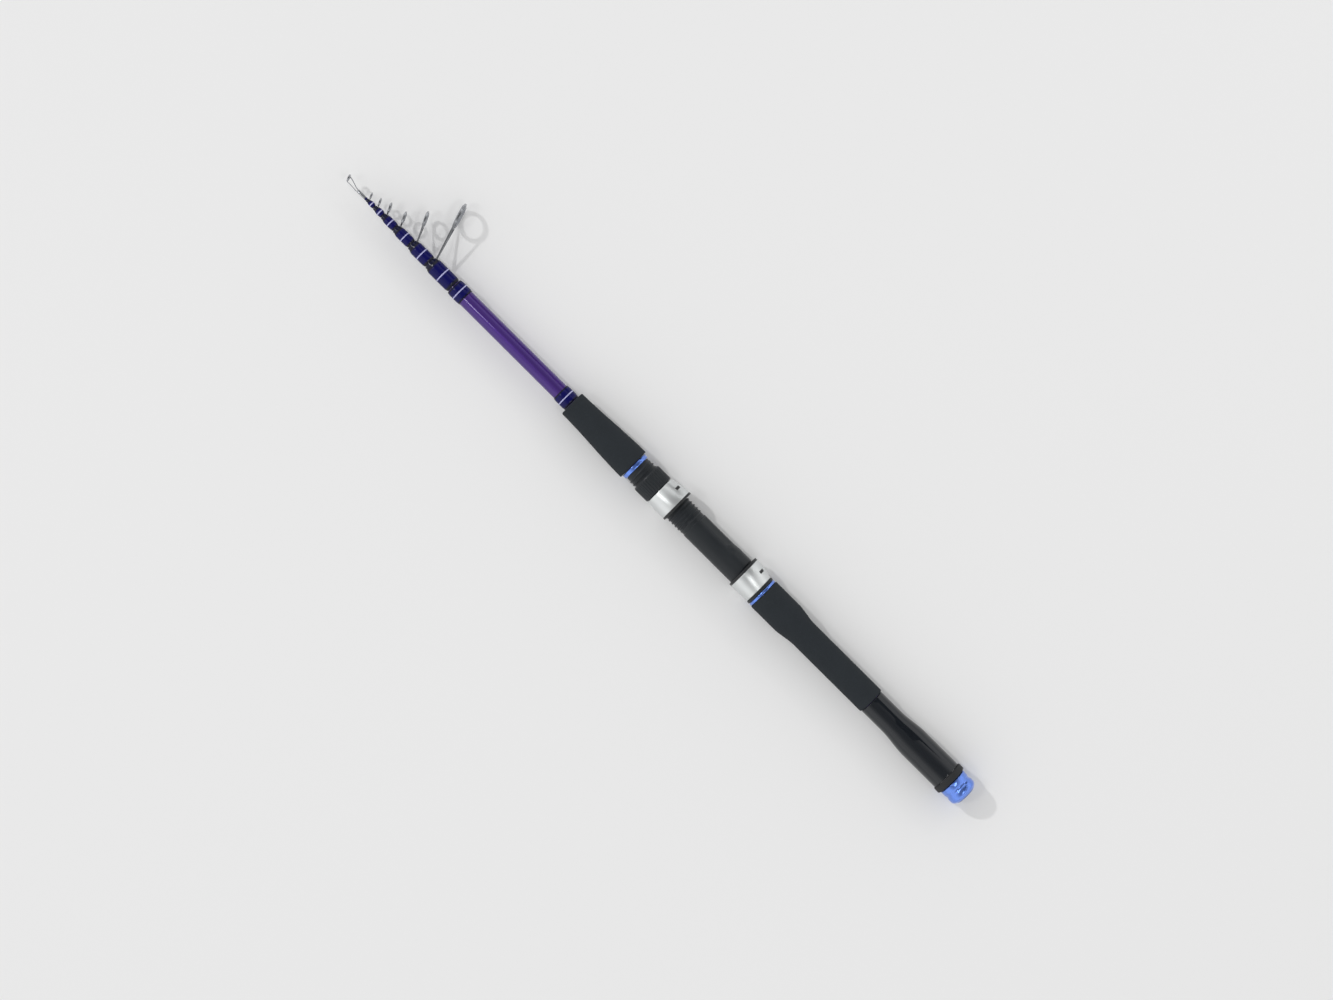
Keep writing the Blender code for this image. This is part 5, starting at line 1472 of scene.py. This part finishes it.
def make_butt_end(context):
    """The gloss sleeve and its ring, and the blue screw cap with disc, sealing ring and cushion."""
    finishes = make_finishes(context.scene)
    sizes = context.scene.rod_sizes
    end = span("butt_cap")[1]
    recess = reach("end_disc") + DISC_PLAY
    cove = []
    for i in range(CAP_COVE_STEPS + 1):
        x = CAP_COVE_X - CAP_COVE_WIDTH / 2 + CAP_COVE_WIDTH * i / CAP_COVE_STEPS
        cove.append((x, CAP_RADIUS - CAP_COVE_DEPTH * math.sin(HALF_TURN * i / CAP_COVE_STEPS)))
    bevel_x, bevel_radius = CAP_FLANGE_BEVEL
    corners = [
        (DISC_RECESS, 0.0),
        (DISC_RECESS, recess),
        (CAP_FACE_X, recess, CAP_RIM_EDGE),
        (CAP_FACE_X, CAP_FACE_RADIUS, CAP_FACE_EDGE),
        (CAP_FACE_X + CAP_CHAMFER, CAP_RADIUS, CAP_SHOULDER_ROUND),
        *cove,
        (CAP_FLANGE_X - bevel_x, CAP_RADIUS, CAP_FLANGE_EDGE),
        (CAP_FLANGE_X, CAP_RADIUS - bevel_radius, CAP_UNDERCUT_EDGE),
        (CAP_FLANGE_X, CAP_ROOT),
        (end, CAP_ROOT, CAP_STEM_EDGE),
        (end, CAP_BORE, CAP_BORE_EDGE),
        (CAP_BORE_FLOOR, CAP_BORE),
        (CAP_BORE_FLOOR, 0.0),
    ]
    outline = rounded(corners, False)
    on_stem = [abs(radius - CAP_ROOT) < SINK and x >= CAP_FLANGE_X for x, radius in outline]
    first = on_stem.index(True)
    last = on_stem.index(True, first + 1)
    fine = refined(outline[first:last + 1], THREAD_STEP, False)
    outline = outline[:first] + fine + outline[last + 1:]
    mesh = turned("butt_cap_turned", outline, closed=False)
    # Only the stem is threaded: the head lies behind the thread's start.
    values = {"Pitch": sizes.cap_pitch, "Depth": CAP_CREST - CAP_ROOT, "Least": CAP_ROOT - SINK}
    values.update({"From": CAP_FLANGE_X + CAP_THREAD_SETBACK, "To": end, "Finish": finishes["blue_anodised"]})
    mesh = grown("butt_cap_turned", screw_tree(), mesh, values)
    dressed("butt_cap_turned", mesh, finishes, "blue_anodised", "butt_cap", "butt_cap")

    start, end = span("end_disc")
    radius = reach("end_disc")
    corners = [(start, 0.0), (start, radius, DISC_EDGE), (end, radius), (end, 0.0)]
    mesh = turned("end_disc_moulded", rounded(corners, False), closed=False)
    dressed("end_disc_moulded", mesh, finishes, "black_rubber", "butt_cap", "end_disc")

    start, end = span("cap_pad")
    places = stations("cap_pad")
    plug, wide = places[0][2], places[-1][2]
    flange = places[1][0]
    corners = [
        (start, 0.0),
        (start, plug, PAD_PLUG_EDGE),
        (flange, plug),
        (flange, wide, PAD_REAR_EDGE),
        (end, wide, PAD_FRONT_EDGE),
        (end, 0.0),
    ]
    mesh = turned("cap_pad_foam", refined(rounded(corners, False), PAD_STEP, False), closed=False)
    pad = dressed("cap_pad_foam", mesh, finishes, "black_rubber", "butt_cap", "cap_pad")

    start, end = span("cap_sealing_ring")
    outer = reach("cap_sealing_ring")
    inner = min(least for _, least, _ in stations("cap_sealing_ring"))
    outline = []
    for i in range(SEAL_SIDES):
        angle = HALF_TURN - FULL_TURN * i / SEAL_SIDES
        x = (start + end) / 2 + math.cos(angle) * (end - start) / 2
        outline.append((x, (outer + inner) / 2 + math.sin(angle) * (outer - inner) / 2))
    mesh = turned("cap_sealing_ring_moulded", outline)
    dressed("cap_sealing_ring_moulded", mesh, finishes, "black_rubber", "cap_seal", "cap_sealing_ring")

    ring_piece("butt_ring", "butt", "black_rubber", finishes, BUTT_RING_EDGE)

    start, end = span("butt_sleeve")
    places = stations("butt_sleeve")
    wide = reach("butt_sleeve")
    neck = places[-1][2]
    step_x = next(x for x, least, _ in places[1:] if least < wide - SLEEVE_STEP_DEPTH)
    inner_wide = places[0][1]
    bore = places[-1][1]
    flare = []
    for i in range(SLEEVE_FLARE_STEPS + 1):
        share = i / SLEEVE_FLARE_STEPS
        x = SLEEVE_FLARE_X + share * (SLEEVE_NECK_X - SLEEVE_FLARE_X)
        flare.append((x, wide + eased(share) * (neck - wide)))
    corners = [
        (start, wide, SLEEVE_REAR_EDGE),
        *flare,
        (end, neck, SLEEVE_FRONT_EDGE),
        (end, bore - SINK),
        (step_x, bore - SINK),
        (step_x, inner_wide - SINK),
        (start, inner_wide - SINK),
    ]
    mesh = turned("butt_sleeve_lacquered", refined(rounded(corners), SLEEVE_STEP))
    dressed("butt_sleeve_lacquered", mesh, finishes, "black_gloss", "butt", "butt_sleeve")
    dress_node("threaded_insert", finishes["plain_alloy"])


# Stage


FLOOR_COLOUR = (0.78, 0.78, 0.78)
FLOOR_SIZE = 60.0
FLOOR_MIDDLE = 0.3
FLOOR_GAP = 0.05 * MM
CARD_COLOUR = (0.02, 0.02, 0.02)
# The sky's strength at the sides and straight overhead. It starts to fall where a direction's Z is
# SKY_START / SKY_SPREAD, and has fallen where it is (SKY_START + 1) / SKY_SPREAD.
SIDE_LEVEL = 1.09
ZENITH_LEVEL = 0.22
SKY_SPREAD = 2.0
SKY_START = 1.0
CAMERA_PLACE = (0.30303, 0.00124, 2.40)
CAMERA_TURN = math.radians(-135.17)
CAMERA_LENS = 90.0
CAMERA_SENSOR = 36.0

Lamp = namedtuple("Lamp", "name place aim width height share")

# A lamp's share is the light that a surface facing it gets at its aim, where the whole is about 1.
LAMPS = (
    Lamp("key_past_the_tip", (7.10, 0.91, 5.95), (0.30, 0.0, 0.0), 0.30, 0.30, 0.24),
    Lamp("lamp_over_the_tip", (1.42, 1.30, 2.90), (0.56, 0.0, 0.0), 0.34, 0.66, 0.08),
    Lamp("strip_over_the_cap", (-0.86, -0.10, 2.90), (0.0, 0.0, 0.0), 1.20, 0.40, 0.10),
    Lamp("spot_at_the_butt", (0.14, -1.06, 0.72), (0.06, 0.0, 0.0), 0.16, 0.03, 0.03),
)

# Dark cards that only mirrors see: they draw dark lines into the bright metal and the gloss.
Card = namedtuple("Card", "name place width height turn lean")
CARDS = (
    Card("card_at_the_guides", (0.80, -1.60, 0.44), 0.72, 0.84, 0.0, 0.0),
    Card("card_over_the_hoods", (0.24, -0.80, 2.32), 0.44, 3.76, 0.0, 0.05),
    Card("card_past_the_tip", (2.60, 0.0, 0.40), 2.40, 0.76, math.pi / 2, 0.0),
)


def flat_panel(name, size, matrix, material):
    """A flat rectangle of the stage."""
    wide, deep = size[0] / 2, size[1] / 2
    corners = [Vector((x * wide, y * deep, 0.0)) for x, y in ((-1, -1), (1, -1), (1, 1), (-1, 1))]
    mesh = bpy.data.meshes.new(name)
    mesh.from_pydata([tuple(matrix @ corner) for corner in corners], [], [(0, 1, 2, 3)])
    mesh.materials.append(material)
    panel = bpy.data.objects.new(name, mesh)
    bpy.context.scene.collection.objects.link(panel)
    return panel


def make_stage(context):
    """The pale floor, the dark cards, the lamps, the sky and the camera over the rod."""
    scene = context.scene
    matt = {"Specular_IOR_Level": 0.0}
    floor_finish = finish("stage_floor", FLOOR_COLOUR, 1.0, **matt)
    level = Matrix.Translation((FLOOR_MIDDLE, 0.0, FLOOR_LEVEL - FLOOR_GAP))
    flat_panel("floor", (FLOOR_SIZE, FLOOR_SIZE), level, floor_finish)
    card_finish = finish("stage_card", CARD_COLOUR, 1.0, **matt)
    for plan in CARDS:
        upright = Matrix.Translation(plan.place) @ Matrix.Rotation(plan.turn, 4, "Z")
        upright = upright @ Matrix.Rotation(-math.pi / 2, 4, "X") @ Matrix.Rotation(plan.lean, 4, "Z")
        card = flat_panel(plan.name, (plan.width, plan.height), upright, card_finish)
        card.visible_camera = False
        card.visible_diffuse = False
        card.visible_shadow = False

    for plan in LAMPS:
        data = bpy.data.lights.new(plan.name, "AREA")
        data.shape = "RECTANGLE"
        data.size = plan.width
        data.size_y = plan.height
        distance = (Vector(plan.place) - Vector(plan.aim)).length
        data.energy = plan.share * (math.pi * distance) ** 2
        lamp = bpy.data.objects.new(plan.name, data)
        lamp.location = plan.place
        lamp.rotation_euler = (Vector(plan.aim) - Vector(plan.place)).to_track_quat("-Z", "Y").to_euler()
        lamp.visible_camera = False
        scene.collection.objects.link(lamp)

    world = bpy.data.worlds.new("studio")
    world.use_nodes = True
    sky = world.node_tree.nodes["Background"]
    sky.inputs["Color"].default_value = (1.0, 1.0, 1.0, 1.0)
    bench = Bench(world.node_tree)
    height = bench.split(bench.add("ShaderNodeTexCoord"))[2]
    overhead = (height * SKY_SPREAD - SKY_START).softened()
    bench.feed(sky.inputs["Strength"], SIDE_LEVEL - (SIDE_LEVEL - ZENITH_LEVEL) * overhead)
    scene.world = world

    data = bpy.data.cameras.new("camera")
    data.type = "PERSP"
    data.lens = CAMERA_LENS
    data.sensor_width = CAMERA_SENSOR
    camera = bpy.data.objects.new("camera", data)
    camera.location = CAMERA_PLACE
    camera.rotation_euler = (0.0, 0.0, CAMERA_TURN)
    scene.collection.objects.link(camera)
    scene.camera = camera
    scene.view_settings.view_transform = "Standard"


# Add-on


LEAST_SIZE = 0.01 * MM
MOST_SIZE = 10.0 * MM
SIZE_DIGITS = 5


def length(label, text, default):
    """A size that a user may change."""
    limits = {"min": LEAST_SIZE, "max": MOST_SIZE}
    return bpy.props.FloatProperty(
        name=label, description=text, default=default, precision=SIZE_DIGITS, unit="LENGTH", **limits
    )


def number(label, text, default, least, most):
    """A count that a user may change."""
    return bpy.props.IntProperty(name=label, description=text, default=default, min=least, max=most)


def colour(label, text, default):
    """A colour that a user may change."""
    return bpy.props.FloatVectorProperty(
        name=label, description=text, default=default, min=0.0, max=1.0, size=3, subtype="COLOR"
    )


class RodSizes(bpy.types.PropertyGroup):
    """Sizes of the rod's fine work. Its main sizes come from the CAD frame."""

    winding_thread: length("Winding thread", "Width of one turn of the thread wraps", 0.22 * MM)
    trim_thread: length("Trim thread", "Thickness of the trim thread", 0.3 * MM)
    trim_turns: number("Trim turns", "Turns in one trim band", 3, least=1, most=8)
    seat_pitch: length("Seat thread pitch", "Pitch of the reel seat's thread", 3.0 * MM)
    cap_pitch: length("Cap thread pitch", "Pitch of the screw cap's thread", 2.0 * MM)
    nut_ribs: number("Nut ribs", "Ribs round the locking nut", 36, least=6, most=72)
    nut_rib_depth: length("Rib depth", "Depth of the flutes between the nut's ribs", 0.32 * MM)
    foam_grain: length("Foam grain", "Size of the grips' foam cells", 0.55 * MM)


class RodColours(bpy.types.PropertyGroup):
    """Colours of the rod's finishes, one for each material slot."""

    purple_blank: colour("Purple paint", "Butt tube's metallic paint", (0.068, 0.029, 0.204))
    dark_blank: colour("Dark tubes", "Gloss of the inner tubes", (0.006, 0.007, 0.026))
    navy_thread: colour("Winding thread", "Thread of the wraps", (0.003, 0.003, 0.088))
    silver_band: colour("Trim thread", "Metallic thread of the bands", (0.52, 0.52, 0.80))
    polished_steel: colour("Guide steel", "Stamped stainless sheet", (0.40, 0.41, 0.43))
    guide_ring: colour("Guide rings", "Hard rings of the guides", (0.24, 0.25, 0.27))
    grip_foam: colour("Grip foam", "Foam of both grips", (0.0165, 0.0205, 0.0245))
    seat_plastic: colour("Reel seat", "Moulded barrel, nut and collar", (0.013, 0.016, 0.019))
    liner_plastic: colour("Liners", "Moulded linings of the hoods", (0.009, 0.010, 0.011))
    silver_hood: colour("Hoods", "Plated metal hoods", (0.70, 0.72, 0.72))
    blue_anodised: colour("Blue metal", "Anodised cap and checks", (0.14, 0.27, 0.80))
    black_gloss: colour("Gloss black", "Lacquered sleeve", (0.009, 0.011, 0.014))
    black_rubber: colour("Black rubber", "Ring, seal, disc and cushion", (0.013, 0.014, 0.015))
    plain_alloy: colour("Plain alloy", "Threaded insert", (0.55, 0.55, 0.57))


class ROD_OT_blank(bpy.types.Operator):
    """Make the eight tubes of the blank"""

    bl_idname = "rod.make_blank"
    bl_label = "Blank"

    def execute(self, context):
        make_blank(context)
        return {"FINISHED"}


class ROD_OT_windings(bpy.types.Operator):
    """Make the thread wraps and their trim bands"""

    bl_idname = "rod.make_windings"
    bl_label = "Windings"

    def execute(self, context):
        make_windings(context)
        return {"FINISHED"}


class ROD_OT_guides(bpy.types.Operator):
    """Make the six guides and their rings"""

    bl_idname = "rod.make_guides"
    bl_label = "Guides"

    def execute(self, context):
        make_guides(context)
        return {"FINISHED"}


class ROD_OT_tip_guide(bpy.types.Operator):
    """Make the tip guide"""

    bl_idname = "rod.make_tip_guide"
    bl_label = "Tip guide"

    def execute(self, context):
        make_tip_guide(context)
        return {"FINISHED"}


class ROD_OT_grips(bpy.types.Operator):
    """Make the foam grips"""

    bl_idname = "rod.make_grips"
    bl_label = "Grips"

    def execute(self, context):
        make_grips(context)
        return {"FINISHED"}


class ROD_OT_seat(bpy.types.Operator):
    """Make the reel seat with its hoods, nut and rings"""

    bl_idname = "rod.make_seat"
    bl_label = "Reel seat"

    def execute(self, context):
        make_seat(context)
        return {"FINISHED"}


class ROD_OT_butt_end(bpy.types.Operator):
    """Make the sleeve, its ring and the screw cap"""

    bl_idname = "rod.make_butt_end"
    bl_label = "Butt end"

    def execute(self, context):
        make_butt_end(context)
        return {"FINISHED"}


class ROD_OT_stage(bpy.types.Operator):
    """Make the floor, the light and the camera"""

    bl_idname = "rod.make_stage"
    bl_label = "Stage"

    def execute(self, context):
        make_stage(context)
        return {"FINISHED"}


OPERATORS = (
    ROD_OT_blank,
    ROD_OT_windings,
    ROD_OT_guides,
    ROD_OT_tip_guide,
    ROD_OT_grips,
    ROD_OT_seat,
    ROD_OT_butt_end,
    ROD_OT_stage,
)


class ROD_PT_panel(bpy.types.Panel):
    """Lists the rod's sizes, colours and pieces"""

    bl_idname = "ROD_PT_panel"
    bl_label = "Spinning rod"
    bl_space_type = "VIEW_3D"
    bl_region_type = "UI"
    bl_category = "Rod"

    def draw(self, context):
        for group in (context.scene.rod_sizes, context.scene.rod_colours):
            box = self.layout.box()
            for name in group.__annotations__:
                box.prop(group, name)
        for operator in OPERATORS:
            self.layout.operator(operator.bl_idname)


CLASSES = (RodSizes, RodColours, *OPERATORS, ROD_PT_panel)


def register():
    for item in CLASSES:
        bpy.utils.register_class(item)
    bpy.types.Scene.rod_sizes = bpy.props.PointerProperty(type=RodSizes)
    bpy.types.Scene.rod_colours = bpy.props.PointerProperty(type=RodColours)


def unregister():
    del bpy.types.Scene.rod_colours
    del bpy.types.Scene.rod_sizes
    for item in reversed(CLASSES):
        bpy.utils.unregister_class(item)


def main():
    """Makes every piece in order."""
    register()
    bpy.ops.rod.make_blank()
    bpy.ops.rod.make_windings()
    bpy.ops.rod.make_guides()
    bpy.ops.rod.make_tip_guide()
    bpy.ops.rod.make_grips()
    bpy.ops.rod.make_seat()
    bpy.ops.rod.make_butt_end()
    bpy.ops.rod.make_stage()


if __name__ == "__main__":
    main()
